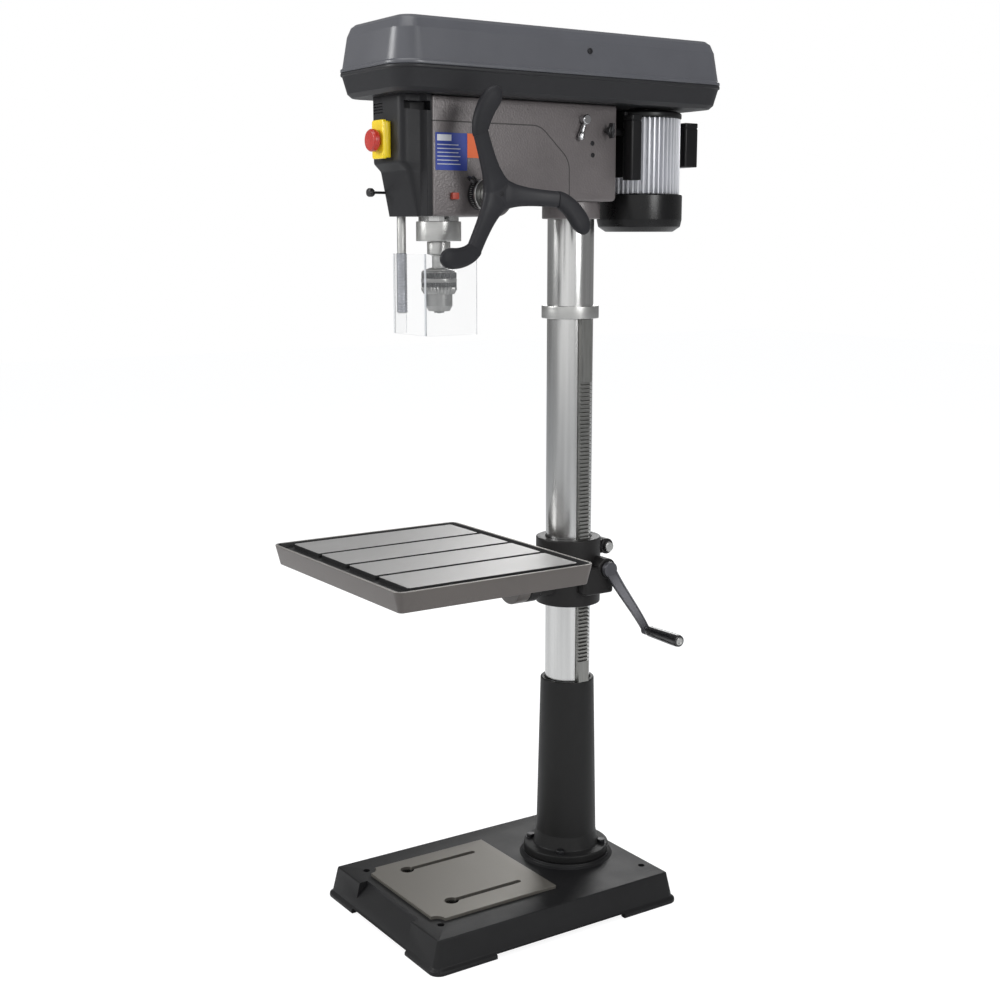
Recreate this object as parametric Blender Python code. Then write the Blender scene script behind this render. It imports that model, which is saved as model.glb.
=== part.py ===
"""Floor-standing drill press, modelled piece by piece at its real size.

Metres, +Z up. Shapes are written in the press's own frame: the column's axis is x = y = 0, the
floor is z = 0, the operator stands at -Y and the crank is on the +X side. One empty then carries
the whole press, so that the middle of its outline stands at the origin.
"""

from math import atan, cos, pi, radians, sin, sqrt

import bmesh
import bpy
from mathutils import Matrix, Vector

# ---- Clearances -------------------------------------------------------------------------------
SEAT = 0.0003          # between two pieces that rest on or fit into each other
RUN = 0.0005           # all round a turning or sliding piece
FACETS = 24            # sides of the large round pieces
SMALL_FACETS = 12      # sides of the small ones

# ---- Column, rack and base --------------------------------------------------------------------
COLUMN_RADIUS = 0.046
COLUMN_WALL = 0.006
HEAD_HEIGHT = 1.386    # floor to the underside of the head's front
COLUMN_IN_HEAD = 0.174
BASE_WIDTH = 0.4374
BASE_LENGTH = 0.5875
BASE_BEHIND_COLUMN = 0.1292
BASE_HEIGHT = 0.064
BASE_DRAFT = 0.0195
BASE_LIP = 0.008
BASE_WALL = 0.013
BASE_CORNER = 0.022
FOOT_RISE = 0.010
FOOT_SIDE_LENGTH = 0.140
FOOT_FRONT_LENGTH = 0.112
RECESS_DEPTH = 0.034
PAD_WIDTH = 0.276
PAD_FRONT_GAP = 0.053
PAD_LENGTH = 0.281
PAD_RISE = 0.006
PAD_NOTCH = 0.020
SLOT_SPACING = 0.172
SLOT_WIDTH = 0.012
SLOT_LENGTH = 0.164
KEYHOLE_RADIUS = 0.014
FLOOR_BOLT_RADIUS = 0.007
FLOOR_BOLT_INSET = 0.072
BOSS_RISE = 0.008
FLANGE_RADIUS = 0.089
FLANGE_THICKNESS = 0.016
FLANGE_BOLT_CIRCLE = 0.075
FLANGE_BOLT_HOLE = 0.0063
SLEEVE_TOP = 0.451
SLEEVE_FOOT_WALL = 0.015
SLEEVE_TOP_WALL = 0.009
RING_WALL = 0.011
RING_HEIGHT = 0.025
RING_BELOW_HEAD = 0.171
RACK_WIDTH = 0.025
RACK_THICKNESS = 0.0107
RACK_MODULE = 0.0025
RACK_PLAIN_TOP = 0.122
RACK_PLAIN_FOOT = 0.038

# ---- Head -------------------------------------------------------------------------------------
THROAT = 0.305         # column axis to spindle axis
HEAD_HALF_WIDTH = 0.070
HEAD_REAR = 0.054
HEAD_RAISE = 0.0305    # the underside's step up behind the quill
HEAD_DEPTH = 0.212     # underside of the front to the top face
HEAD_FRONT_WALL = 0.0175
HEAD_WALL = 0.009
CLAMP_BOSS_WALL = 0.011
CLAMP_BOSS_DROP = 0.033
NOSE_DEPTH = 0.055
NOSE_HALF_FRONT = 0.055
NOSE_WALL = 0.003
NOSE_CORNER = 0.020
NOSE_TAPER_HEIGHT = 0.082
NOSE_TAPER = 0.024

# ---- Quill, spindle and chuck -----------------------------------------------------------------
QUILL_RADIUS = 0.0375
QUILL_TRAVEL = 0.115
QUILL_BORE = 0.020
QUILL_BELOW_HEAD = 0.045
QUILL_TOP_BELOW = 0.038
COLLAR_WALL = 0.0045
COLLAR_HEIGHT = 0.036
BEARING_HEIGHT = 0.018
SPINDLE_RADIUS = 0.015
SPINDLE_NOSE_RADIUS = 0.0215
SPINDLE_NOSE_LENGTH = 0.024
SPLINE_RADIUS = 0.0115
SPLINE_DEPTH = 0.002
ARBOR_RADIUS = 0.0125
CHUCK_GAP = 0.025
CHUCK_LENGTH = 0.080
CHUCK_RADIUS = 0.025
CHUCK_SLEEVE_WALL = 0.0085
CHUCK_SLEEVE_HEIGHT = 0.0484
JAW_RADIUS = 0.0048
JAW_LENGTH = 0.036
JAW_TILT = radians(13)
JAW_TIP_RADIUS = 0.0050
JAW_PROUD = 0.003
PINION_MODULE = 0.002
PINION_TEETH = 12
PINION_HALF_WIDTH = 0.0147

# ---- Feed handle, depth ring and guard --------------------------------------------------------
FEED_HEIGHT = 0.0385   # feed axis above the head's underside
FEED_BEARING_RADIUS = 0.0148
FEED_TAIL_RADIUS = 0.009
FEED_HUB_RADIUS = 0.020
DEPTH_RING_RADIUS = 0.031
DEPTH_RING_WIDTH = 0.030
HANDLE_OUT = 0.140     # handle's middle plane, from the spindle's plane
HANDLE_RADIUS = 0.182
HANDLE_HUB_RADIUS = 0.029
HANDLE_THICKNESS = 0.024
BLADE_WIDTH = 0.029
GRIP_START = 0.116
GRIP_WIDTH = 0.038
BLADE_BASE_ANGLE = radians(116)
BLADE_SWEEP = radians(19)
SPRING_CAP_RADIUS = 0.033
SPRING_CAP_DEPTH = 0.028
SPRING_TURNS = 4.0
GUARD_ROD_X = -0.049
GUARD_ROD_FORWARD = 0.0515
GUARD_ROD_RADIUS = 0.0083
GUARD_ROD_LENGTH = 0.243
GUARD_ROD_IN_HEAD = 0.064
SHIELD_HALF_WIDTH = 0.063
SHIELD_HEIGHT = 0.148
SHIELD_TOP_BELOW_HEAD = 0.068
SHIELD_WALL = 0.0022
SHIELD_DEPTH = 0.109
SHIELD_FLANGE = 0.030
SHIELD_FORWARD = 0.065
CLAMP_HEIGHT = 0.110
CLAMP_RADIUS = 0.0099

# ---- Belt cover, pulleys and belts ------------------------------------------------------------
COVER_HALF_WIDTH = 0.126
COVER_FRONT = 0.459    # column axis to the front of the rim
COVER_REAR = 0.297
COVER_CORNER = 0.052
TRAY_HEIGHT = 0.044
TRAY_INSET = 0.012
COVER_WALL = 0.0025
LID_HEIGHT = 0.085
LID_INSET = 0.029
RIM_BEAD = 0.006
STEP_RADII = (0.068, 0.058, 0.048, 0.038)
IDLER_RADII = (0.028, 0.038, 0.048, 0.058, 0.068)
STEP_HEIGHT = 0.0145
GROOVE_DEPTH = 0.009
GROOVE_FLOOR = 0.0074
BELT_DEPTH = 0.0075
BELT_TOP = 0.0098
BELT_FOOT = 0.0068
IDLER_Y = -0.078
HINGE_RADIUS = 0.004
HINGE_LENGTH = 0.026

# ---- Motor ------------------------------------------------------------------------------------
MOTOR_Y = 0.172
MOTOR_RADIUS = 0.080
MOTOR_TOP_BELOW_TRAY = 0.004
BELL_HEIGHT = 0.014
MOTOR_BODY_HEIGHT = 0.147
FAN_COVER_HEIGHT = 0.074
FAN_COVER_RADIUS = 0.086
FIN_COUNT = 28
FIN_DEPTH = 0.008
MOTOR_SHAFT_RADIUS = 0.0095
MOTOR_SLIDE = 0.018
SLIDE_ROD_X = 0.058
SLIDE_ROD_RADIUS = 0.007
SLIDE_ROD_BELOW_TOP = 0.049

# ---- Table, bracket and crank -----------------------------------------------------------------
TABLE_HEIGHT = 0.750
TABLE_WIDTH = 0.500
TABLE_DEPTH = 0.4258
TABLE_BEHIND = 0.1188  # column axis to the table's rear edge
TABLE_RIM_HEIGHT = 0.040
TABLE_DRAFT = 0.010
TABLE_CORNER = 0.012
TABLE_WALL = 0.008
TABLE_PLATE = 0.016
RIM_WIDTH = 0.006
TROUGH_WIDTH = 0.019
TROUGH_FRONT = 0.030
TROUGH_DEPTH = 0.009
TABLE_SLOTS = 3
TABLE_SLOT_WIDTH = 0.012
TABLE_SLOT_DEPTH = 0.013
TILT_DROP = 0.082      # table's top to its tilt axis
TRUNNION_RADIUS = 0.044
TRUNNION_THICKNESS = 0.030
TILT_BOLT_RADIUS = 0.008
COLLAR_BELOW_TABLE = 0.002
BRACKET_HEIGHT = 0.136
BRACKET_WALL = 0.020
CRANK_BELOW_TABLE = 0.0588
CRANK_BEHIND = 0.031   # column axis to the crank's shaft
WORM_RADIUS = 0.0125
WORM_CORE_RADIUS = 0.0072
WORM_TURNS = 2.4
HOUSING_WALL = 0.0035
GEAR_TEETH = 12
GEAR_HALF_WIDTH = 0.010
CRANK_SHAFT_RADIUS = 0.008
CRANK_RADIUS = 0.136
CRANK_LEAN = 0.048     # how far the arm leans out, from its hub to its grip
CRANK_DROP_ANGLE = radians(-65)
GRIP_LENGTH = 0.096
GRIP_RADIUS = 0.0125
EAR_RADIUS = 0.016
EAR_OUT = 0.032
EAR_BEHIND = 0.076
EAR_BELOW_TABLE = 0.028
EAR_SLIT = 0.006

# ---- Places worked out from the sizes above ---------------------------------------------------
SPINDLE_Y = -THROAT
HEAD_TOP = HEAD_HEIGHT + HEAD_DEPTH
COLUMN_TOP = HEAD_HEIGHT + COLUMN_IN_HEAD
FACE_Y = SPINDLE_Y - QUILL_RADIUS - HEAD_FRONT_WALL
BASE_REAR = BASE_BEHIND_COLUMN
BASE_FRONT = BASE_REAR - BASE_LENGTH
FLANGE_FOOT = BASE_HEIGHT + BOSS_RISE
RING_TOP = HEAD_HEIGHT - RING_BELOW_HEAD
RING_FOOT = RING_TOP - RING_HEIGHT
RACK_BACK = COLUMN_RADIUS + SEAT
RACK_FACE = RACK_BACK + RACK_THICKNESS
RACK_PITCH = pi * RACK_MODULE
FEED_Z = HEAD_HEIGHT + FEED_HEIGHT
PINION_PITCH_RADIUS = PINION_MODULE * PINION_TEETH / 2
FEED_Y = SPINDLE_Y + QUILL_RADIUS - PINION_MODULE + PINION_PITCH_RADIUS
QUILL_FOOT = HEAD_HEIGHT - QUILL_BELOW_HEAD
QUILL_TOP = HEAD_TOP - QUILL_TOP_BELOW
NOSE_FOOT = QUILL_FOOT - SPINDLE_NOSE_LENGTH
CHUCK_TOP = NOSE_FOOT - CHUCK_GAP
CHUCK_FOOT = CHUCK_TOP - CHUCK_LENGTH
TRAY_FOOT = HEAD_TOP + SEAT
RIM_Z = TRAY_FOOT + TRAY_HEIGHT
LID_TOP = RIM_Z + LID_HEIGHT
PULLEY_FOOT = TRAY_FOOT + COVER_WALL + 0.005
BELT_REACH = GROOVE_DEPTH - BELT_DEPTH + 0.0004
MOTOR_TOP = TRAY_FOOT - MOTOR_TOP_BELOW_TRAY
BODY_TOP = MOTOR_TOP - BELL_HEIGHT
BODY_FOOT = BODY_TOP - MOTOR_BODY_HEIGHT
SLIDE_ROD_Z = HEAD_TOP - SLIDE_ROD_BELOW_TOP
GUARD_ROD_Y = SPINDLE_Y - GUARD_ROD_FORWARD
SHIELD_Y = SPINDLE_Y - SHIELD_FORWARD
SHIELD_TOP = HEAD_HEIGHT - SHIELD_TOP_BELOW_HEAD
TABLE_REAR = -TABLE_BEHIND
TABLE_FRONT = TABLE_REAR - TABLE_DEPTH
TILT_Z = TABLE_HEIGHT - TILT_DROP
BRACKET_TOP = TABLE_HEIGHT - COLLAR_BELOW_TABLE
BRACKET_FOOT = BRACKET_TOP - BRACKET_HEIGHT
BRACKET_RADIUS = COLUMN_RADIUS + BRACKET_WALL
CRANK_Z = TABLE_HEIGHT - CRANK_BELOW_TABLE
GEAR_PITCH_RADIUS = RACK_MODULE * GEAR_TEETH / 2
GEAR_X = RACK_FACE - RACK_MODULE + GEAR_PITCH_RADIUS
GEAR_Z = CRANK_Z - GEAR_PITCH_RADIUS - (WORM_RADIUS - RACK_MODULE)
HOUSING_END = GEAR_X + GEAR_PITCH_RADIUS + RACK_MODULE + HOUSING_WALL
CRANK_FACE = HOUSING_END + 0.014
GRIP_FOOT = CRANK_FACE + CRANK_LEAN + 0.003
GRIP_END = GRIP_FOOT + GRIP_LENGTH
GRIP_Y = CRANK_BEHIND + CRANK_RADIUS * cos(CRANK_DROP_ANGLE)
GRIP_Z = CRANK_Z + CRANK_RADIUS * sin(CRANK_DROP_ANGLE)

TURN_X = Matrix.Rotation(pi / 2, 4, "Y")    # lays a shape's own Z along X
TURN_Y = Matrix.Rotation(-pi / 2, 4, "X")   # lays a shape's own Z along Y
UPRIGHT = Matrix.Identity(4)


# ---- Shapes -----------------------------------------------------------------------------------
def skin(rings, looped=False):
    """A closed surface through rings of points; its ends are capped, or joined when it is looped."""
    shape = bmesh.new()
    rows = [[shape.verts.new(point) for point in ring] for ring in rings]
    pairs = list(zip(rows, rows[1:] + rows[:1])) if looped else list(zip(rows, rows[1:]))
    for low, high in pairs:
        for i in range(len(low)):
            j = (i + 1) % len(low)
            shape.faces.new((low[i], low[j], high[j], high[i]))
    if not looped:
        shape.faces.new(rows[0])
        shape.faces.new(rows[-1])
    bmesh.ops.remove_doubles(shape, verts=shape.verts, dist=1e-6)
    bmesh.ops.recalc_face_normals(shape, faces=shape.faces)
    return shape


def circle(radius, sides=FACETS, start=0.0):
    return [(radius * cos(start + 2 * pi * i / sides), radius * sin(start + 2 * pi * i / sides))
            for i in range(sides)]


def rounded(x0, x1, y0, y1, radius, steps=3):
    """A rectangle's outline with round corners."""
    centres = ((x1 - radius, y1 - radius), (x0 + radius, y1 - radius),
               (x0 + radius, y0 + radius), (x1 - radius, y0 + radius))
    points = []
    for corner, (cx, cy) in enumerate(centres):
        for i in range(steps + 1):
            angle = pi / 2 * (corner + i / steps)
            points.append((cx + radius * cos(angle), cy + radius * sin(angle)))
    return points


def prism(outline, low, high, turn=UPRIGHT, at=(0, 0, 0)):
    """An outline pulled along its own Z from low to high, then turned and moved to its place."""
    shape = skin([[(x, y, z) for x, y in outline] for z in (low, high)])
    return placed(shape, turn, at)


def stacked(levels, turn=UPRIGHT, at=(0, 0, 0)):
    """A solid through outlines of equally many points, each given with its height."""
    return placed(skin([[(x, y, z) for x, y in outline] for z, outline in levels]), turn, at)


def turned(profile, turn=UPRIGHT, at=(0, 0, 0), sides=FACETS, hollow=False):
    """A round solid from (radius, height) points: solid from its axis out, or hollow from a closed loop."""
    rings = [[(x, y, z) for x, y in circle(max(r, 1e-9), sides)] for r, z in profile]
    if hollow:
        return placed(skin(rings, looped=True), turn, at)
    ends = (profile[0], profile[-1])
    rings = [[(0, 0, ends[0][1])] * sides] + rings + [[(0, 0, ends[1][1])] * sides]
    shape = bmesh.new()
    rows = [[shape.verts.new(point) for point in ring] for ring in rings]
    for low, high in zip(rows, rows[1:]):
        for i in range(sides):
            j = (i + 1) % sides
            shape.faces.new((low[i], low[j], high[j], high[i]))
    bmesh.ops.remove_doubles(shape, verts=shape.verts, dist=1e-6)
    bmesh.ops.recalc_face_normals(shape, faces=shape.faces)
    return placed(shape, turn, at)


def rod(radius, low, high, turn=UPRIGHT, at=(0, 0, 0), sides=SMALL_FACETS):
    return prism(circle(radius, sides), low, high, turn, at)


def block(x0, x1, y0, y1, z0, z1):
    return prism([(x0, y0), (x1, y0), (x1, y1), (x0, y1)], z0, z1)


def side_prism(outline, x0, x1):
    """An outline of (y, z) points pulled along X from x0 to x1."""
    return skin([[(x, y, z) for y, z in outline] for x in (x0, x1)])


def placed(shape, turn, at):
    shape.transform(Matrix.Translation(at) @ turn)
    return shape


def together(*shapes):
    """Several shapes that stay clear of each other, as one mesh for a single cut."""
    joined = bmesh.new()
    for shape in shapes:
        mesh = bpy.data.meshes.new("loose")
        shape.to_mesh(mesh)
        shape.free()
        joined.from_mesh(mesh)
        bpy.data.meshes.remove(mesh)
    return joined


# ---- Objects ----------------------------------------------------------------------------------
PLACES = {}


def finish(name, colour, roughness, metallic=0.0, alpha=1.0):
    """A Principled material; every sub-part has one of its own."""
    made = bpy.data.materials.new(name)
    made.use_nodes = True
    shader = made.node_tree.nodes["Principled BSDF"]
    shader.inputs["Base Color"].default_value = (*colour, 1)
    shader.inputs["Roughness"].default_value = roughness
    shader.inputs["Metallic"].default_value = metallic
    shader.inputs["Alpha"].default_value = alpha
    return made


def pivot(name, at=(0, 0, 0), parent=None):
    """An empty on a joint's axis, at a place in the press's frame, that carries one moving body."""
    empty = bpy.data.objects.new(name, None)
    bpy.context.scene.collection.objects.link(empty)
    empty.empty_display_size = 0.03
    PLACES[name] = Vector(at)
    empty.parent = parent
    empty.location = Vector(at) - (PLACES[parent.name] if parent else Vector((0, 0, 0)))
    return empty


def mesh_object(name, shape, body, origin):
    shape.transform(Matrix.Translation(-Vector(origin)))
    mesh = bpy.data.meshes.new(name)
    shape.to_mesh(mesh)
    shape.free()
    obj = bpy.data.objects.new(name, mesh)
    bpy.context.scene.collection.objects.link(obj)
    obj.parent = body
    obj.location = Vector(origin) - PLACES[body.name]
    obj["origin"] = origin
    return obj


def piece(name, shape, body, colour, roughness, metallic=0.0, alpha=1.0):
    """One sub-part: its shape, the body that carries it and its finish."""
    obj = mesh_object(name, shape, body, PLACES[body.name])
    obj.data.materials.append(finish(name, colour, roughness, metallic, alpha))
    obj.data.shade_smooth()
    obj.data.set_sharp_from_angle(angle=radians(35))
    return obj


def combine(obj, shape, operation):
    tool = mesh_object(f"{obj.name}_{operation.lower()}_{len(obj.modifiers)}", shape, obj.parent,
                       tuple(obj["origin"]))
    tool.hide_render = True
    tool.display_type = "WIRE"
    change = obj.modifiers.new(tool.name, "BOOLEAN")
    change.operation = operation
    change.solver = "EXACT"
    change.object = tool


def cut(obj, *shapes):
    for shape in shapes:
        combine(obj, shape, "DIFFERENCE")


def join(obj, *shapes):
    for shape in shapes:
        combine(obj, shape, "UNION")


for old in list(bpy.data.objects):
    bpy.data.objects.remove(old, do_unlink=True)

# The press's outline runs from the table's left edge to the crank's grip, and from the table's
# front edge to the back of the belt cover.
MIDDLE_X = (GRIP_END - TABLE_WIDTH / 2) / 2 if GRIP_END > TABLE_WIDTH / 2 else 0.0
MIDDLE_Y = (min(TABLE_FRONT, BASE_FRONT) + COVER_REAR) / 2

press = pivot("press")
press.location = (-MIDDLE_X, -MIDDLE_Y, 0)

# ---- Colours ----------------------------------------------------------------------------------
IRON_BLACK = (0.030, 0.030, 0.033)
SATIN_BLACK = (0.022, 0.022, 0.024)
HAMMERED_GREY = (0.190, 0.172, 0.168)
WARM_GREY = (0.120, 0.108, 0.100)
GROUND_STEEL = (0.45, 0.45, 0.44)
BRIGHT_STEEL = (0.55, 0.55, 0.54)
COVER_GREY = (0.085, 0.088, 0.103)
HANDLE_GREY = (0.045, 0.045, 0.050)
CAST_ALUMINIUM = (0.62, 0.63, 0.66)
RUBBER_BLACK = (0.012, 0.012, 0.012)
SAFETY_YELLOW = (0.80, 0.60, 0.01)
STOP_RED = (0.55, 0.04, 0.03)
START_GREEN = (0.03, 0.30, 0.06)


# ---- Base -------------------------------------------------------------------------------------
def base_outline(inset):
    half = BASE_WIDTH / 2 - inset
    return rounded(-half, half, BASE_FRONT + inset, BASE_REAR - inset, max(BASE_CORNER - inset, 0.003))


PAD_FRONT = BASE_FRONT + PAD_FRONT_GAP
PAD_REAR = PAD_FRONT + PAD_LENGTH
PAD_TOP = BASE_HEIGHT + PAD_RISE
RECESS_HALF = BASE_WIDTH / 2 - FOOT_FRONT_LENGTH
base = piece("base_casting", stacked([
    (0.0, base_outline(0.0)),
    (BASE_LIP, base_outline(0.001)),
    (BASE_LIP + 0.004, base_outline(0.006)),
    (BASE_HEIGHT - 0.003, base_outline(BASE_DRAFT - 0.001)),
    (BASE_HEIGHT, base_outline(BASE_DRAFT + 0.002)),
]), press, IRON_BLACK, 0.45, 0.2)
join(base,
     block(-PAD_WIDTH / 2, PAD_WIDTH / 2, PAD_FRONT, PAD_REAR, BASE_HEIGHT - 0.002, PAD_TOP),
     rod(FLANGE_RADIUS + 0.003, BASE_HEIGHT - 0.002, FLANGE_FOOT, sides=FACETS))
UNDER_TOP = BASE_HEIGHT - BASE_WALL
cut(base, stacked([
    (-0.01, base_outline(BASE_WALL)),
    (UNDER_TOP, base_outline(BASE_WALL + BASE_DRAFT)),
]))
SIDE_GAP_FRONT = BASE_FRONT + FOOT_SIDE_LENGTH
SIDE_GAP_REAR = BASE_REAR - FOOT_SIDE_LENGTH
cut(base,
    block(-BASE_WIDTH, BASE_WIDTH, SIDE_GAP_FRONT, SIDE_GAP_REAR, -0.01, FOOT_RISE),
    block(-RECESS_HALF, RECESS_HALF, BASE_FRONT - 0.05, BASE_REAR + 0.05, -0.01, FOOT_RISE + 0.0002))
# The front's sloping recess between the two corner blocks.
cut(base, side_prism([
    (BASE_FRONT - 0.05, FOOT_RISE + 0.012),
    (BASE_FRONT + 0.002, FOOT_RISE + 0.012),
    (BASE_FRONT + RECESS_DEPTH, BASE_HEIGHT - 0.008),
    (BASE_FRONT + RECESS_DEPTH + 0.004, BASE_HEIGHT + 0.010),
    (BASE_FRONT - 0.05, BASE_HEIGHT + 0.010),
], -RECESS_HALF + 0.004, RECESS_HALF - 0.004))
FLOOR_BOLT_X = BASE_WIDTH / 2 - FLOOR_BOLT_INSET
FLOOR_BOLTS = [(x, y) for x in (-FLOOR_BOLT_X, FLOOR_BOLT_X)
               for y in (BASE_FRONT + FLOOR_BOLT_INSET - 0.014, BASE_REAR - 0.042)]
cut(base, together(*[rod(FLOOR_BOLT_RADIUS, 0.02, BASE_HEIGHT + 0.02, at=(x, y, 0))
                     for x, y in FLOOR_BOLTS]))
cut(base, together(*[rod(PAD_NOTCH, BASE_HEIGHT, PAD_TOP + 0.01, at=(side * PAD_WIDTH / 2, PAD_FRONT, 0))
                     for side in (-1, 1)]))
for side in (-1, 1):
    slot_x = side * SLOT_SPACING / 2 - 0.006
    slot_front = PAD_FRONT + 0.070
    cut(base, block(slot_x - SLOT_WIDTH / 2, slot_x + SLOT_WIDTH / 2, slot_front,
                    slot_front + SLOT_LENGTH, 0.02, PAD_TOP + 0.02))
    cut(base, rod(KEYHOLE_RADIUS, 0.02, PAD_TOP + 0.02, at=(slot_x, slot_front, 0)))
FLANGE_BOLTS = [(FLANGE_BOLT_CIRCLE * cos(a), FLANGE_BOLT_CIRCLE * sin(a))
                for a in (0, pi / 2, pi, 3 * pi / 2)]
cut(base, together(*[rod(FLANGE_BOLT_HOLE, UNDER_TOP - 0.01, FLANGE_FOOT + 0.01, at=(x, y, 0),
                         sides=SMALL_FACETS) for x, y in FLANGE_BOLTS]))

# ---- Column, its sleeve, the rack ring --------------------------------------------------------
SLEEVE_BORE = COLUMN_RADIUS + SEAT
SLEEVE_FOOT = FLANGE_FOOT + SEAT
FLANGE_TOP = SLEEVE_FOOT + FLANGE_THICKNESS
sleeve = piece("column_sleeve", turned([
    (SLEEVE_BORE, SLEEVE_FOOT),
    (FLANGE_RADIUS, SLEEVE_FOOT),
    (FLANGE_RADIUS, FLANGE_TOP - 0.002),
    (FLANGE_RADIUS - 0.002, FLANGE_TOP),
    (SLEEVE_BORE + SLEEVE_FOOT_WALL + 0.005, FLANGE_TOP + 0.002),
    (SLEEVE_BORE + SLEEVE_FOOT_WALL, FLANGE_TOP + 0.030),
    (SLEEVE_BORE + SLEEVE_TOP_WALL, SLEEVE_TOP - 0.002),
    (SLEEVE_BORE + SLEEVE_TOP_WALL - 0.002, SLEEVE_TOP),
    (SLEEVE_BORE, SLEEVE_TOP),
], hollow=True), press, SATIN_BLACK, 0.42, 0.1)
cut(sleeve, together(*[rod(FLANGE_BOLT_HOLE, SLEEVE_FOOT - 0.01, FLANGE_TOP + 0.01, at=(x, y, 0),
                           sides=SMALL_FACETS) for x, y in FLANGE_BOLTS]))

piece("column_tube", turned([
    (COLUMN_RADIUS - COLUMN_WALL, SLEEVE_FOOT),
    (COLUMN_RADIUS, SLEEVE_FOOT),
    (COLUMN_RADIUS, COLUMN_TOP),
    (COLUMN_RADIUS - COLUMN_WALL, COLUMN_TOP),
], hollow=True), press, GROUND_STEEL, 0.28, 1.0)

rack_ring = piece("rack_ring", turned([
    (SLEEVE_BORE, RING_FOOT),
    (COLUMN_RADIUS + RING_WALL, RING_FOOT),
    (COLUMN_RADIUS + RING_WALL, RING_TOP - 0.002),
    (COLUMN_RADIUS + RING_WALL - 0.002, RING_TOP),
    (SLEEVE_BORE, RING_TOP),
], hollow=True), press, BRIGHT_STEEL, 0.25, 1.0)
cut(rack_ring, rod(0.0035, COLUMN_RADIUS + RING_WALL - 0.005, COLUMN_RADIUS + RING_WALL + 0.01,
                   turn=TURN_X, at=(0, 0, (RING_FOOT + RING_TOP) / 2), sides=12))


# ---- Head casting -----------------------------------------------------------------------------
CLAMP_BOSS_RADIUS = COLUMN_RADIUS + CLAMP_BOSS_WALL
QUILL_HOLE = QUILL_RADIUS + SEAT
FRONT_FLOOR_END = FEED_Y + 0.052
HEAD_REAR_FLOOR = HEAD_HEIGHT + HEAD_RAISE
head = piece("head_casting", side_prism([
    (FACE_Y, HEAD_HEIGHT),
    (FRONT_FLOOR_END, HEAD_HEIGHT),
    (FRONT_FLOOR_END + HEAD_RAISE, HEAD_REAR_FLOOR),
    (HEAD_REAR, HEAD_REAR_FLOOR),
    (HEAD_REAR, HEAD_TOP),
    (FACE_Y, HEAD_TOP),
], -HEAD_HALF_WIDTH, HEAD_HALF_WIDTH), press, HAMMERED_GREY, 0.42, 0.25)
join(head, rod(CLAMP_BOSS_RADIUS, HEAD_REAR_FLOOR - CLAMP_BOSS_DROP, HEAD_REAR_FLOOR + 0.010, sides=FACETS))
cut(head, rod(COLUMN_RADIUS + SEAT, HEAD_HEIGHT - 0.05, COLUMN_TOP + SEAT, sides=FACETS))
cut(head, rod(QUILL_HOLE, HEAD_HEIGHT - 0.01, QUILL_TOP + SEAT, at=(0, SPINDLE_Y, 0), sides=FACETS))
PULLEY_HUB_RADIUS = 0.026
cut(head, rod(PULLEY_HUB_RADIUS + RUN, QUILL_TOP - 0.005, HEAD_TOP + 0.01, at=(0, SPINDLE_Y, 0),
              sides=FACETS))
POCKET_FRONT = FEED_Y + PINION_PITCH_RADIUS + 0.010
POCKET_REAR = -COLUMN_RADIUS - 0.017
cut(head, block(-HEAD_HALF_WIDTH + HEAD_WALL, HEAD_HALF_WIDTH - HEAD_WALL, POCKET_FRONT, POCKET_REAR,
                HEAD_REAR_FLOOR + HEAD_WALL, HEAD_TOP + 0.01))
PINION_TIP = PINION_PITCH_RADIUS + PINION_MODULE
cut(head, rod(PINION_TIP + RUN, -PINION_HALF_WIDTH - 0.001, HEAD_HALF_WIDTH + 0.01, turn=TURN_X,
              at=(0, FEED_Y, FEED_Z), sides=FACETS))
cut(head, rod(FEED_TAIL_RADIUS + RUN, -HEAD_HALF_WIDTH - 0.01, 0, turn=TURN_X, at=(0, FEED_Y, FEED_Z)))
cut(head, rod(GUARD_ROD_RADIUS + RUN, HEAD_HEIGHT - 0.01, HEAD_HEIGHT + GUARD_ROD_IN_HEAD + SEAT,
              at=(GUARD_ROD_X, GUARD_ROD_Y, 0)))
ROD_FRONT_END = -0.030
cut(head, together(*[rod(SLIDE_ROD_RADIUS + RUN, ROD_FRONT_END - MOTOR_SLIDE - 0.004, HEAD_REAR + 0.01,
                         turn=TURN_Y, at=(side * SLIDE_ROD_X, 0, SLIDE_ROD_Z)) for side in (-1, 1)]))
LEVER_Y = -0.024
LEVER_Z = HEAD_TOP - 0.030
LEVER_SHAFT_RADIUS = 0.006
LEVER_SHAFT_END = HEAD_HALF_WIDTH - 0.012
LOCK_Y = 0.031
LOCK_STEM_RADIUS = 0.004
cut(head, together(
    rod(LEVER_SHAFT_RADIUS + RUN, LEVER_SHAFT_END - SEAT, HEAD_HALF_WIDTH + 0.01, turn=TURN_X,
        at=(0, LEVER_Y, LEVER_Z)),
    rod(LOCK_STEM_RADIUS + RUN, SLIDE_ROD_X + 0.004, HEAD_HALF_WIDTH + 0.01, turn=TURN_X,
        at=(0, LOCK_Y, SLIDE_ROD_Z))))


# ---- Nose cover -------------------------------------------------------------------------------
def nose_level(z, half_front, front, wall):
    """The cover's outline at one height: wide at the head's face, rounded towards the operator."""
    back_half = HEAD_HALF_WIDTH - wall
    front_half = half_front - wall
    corner = NOSE_CORNER - wall
    back = FACE_Y - SEAT + (0.02 if wall else 0.0)
    edge = front + wall
    points = [(back_half, back), (back_half, FACE_Y - 0.012)]
    points += [(front_half - corner + corner * cos(a), edge + corner - corner * sin(a))
               for a in (radians(15 + 25 * i) for i in range(4))]
    points += [(-x, y) for x, y in reversed(points)]
    return z, points


NOSE_FRONT = FACE_Y - NOSE_DEPTH
TAPER_TOP = HEAD_HEIGHT + NOSE_TAPER_HEIGHT


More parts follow.
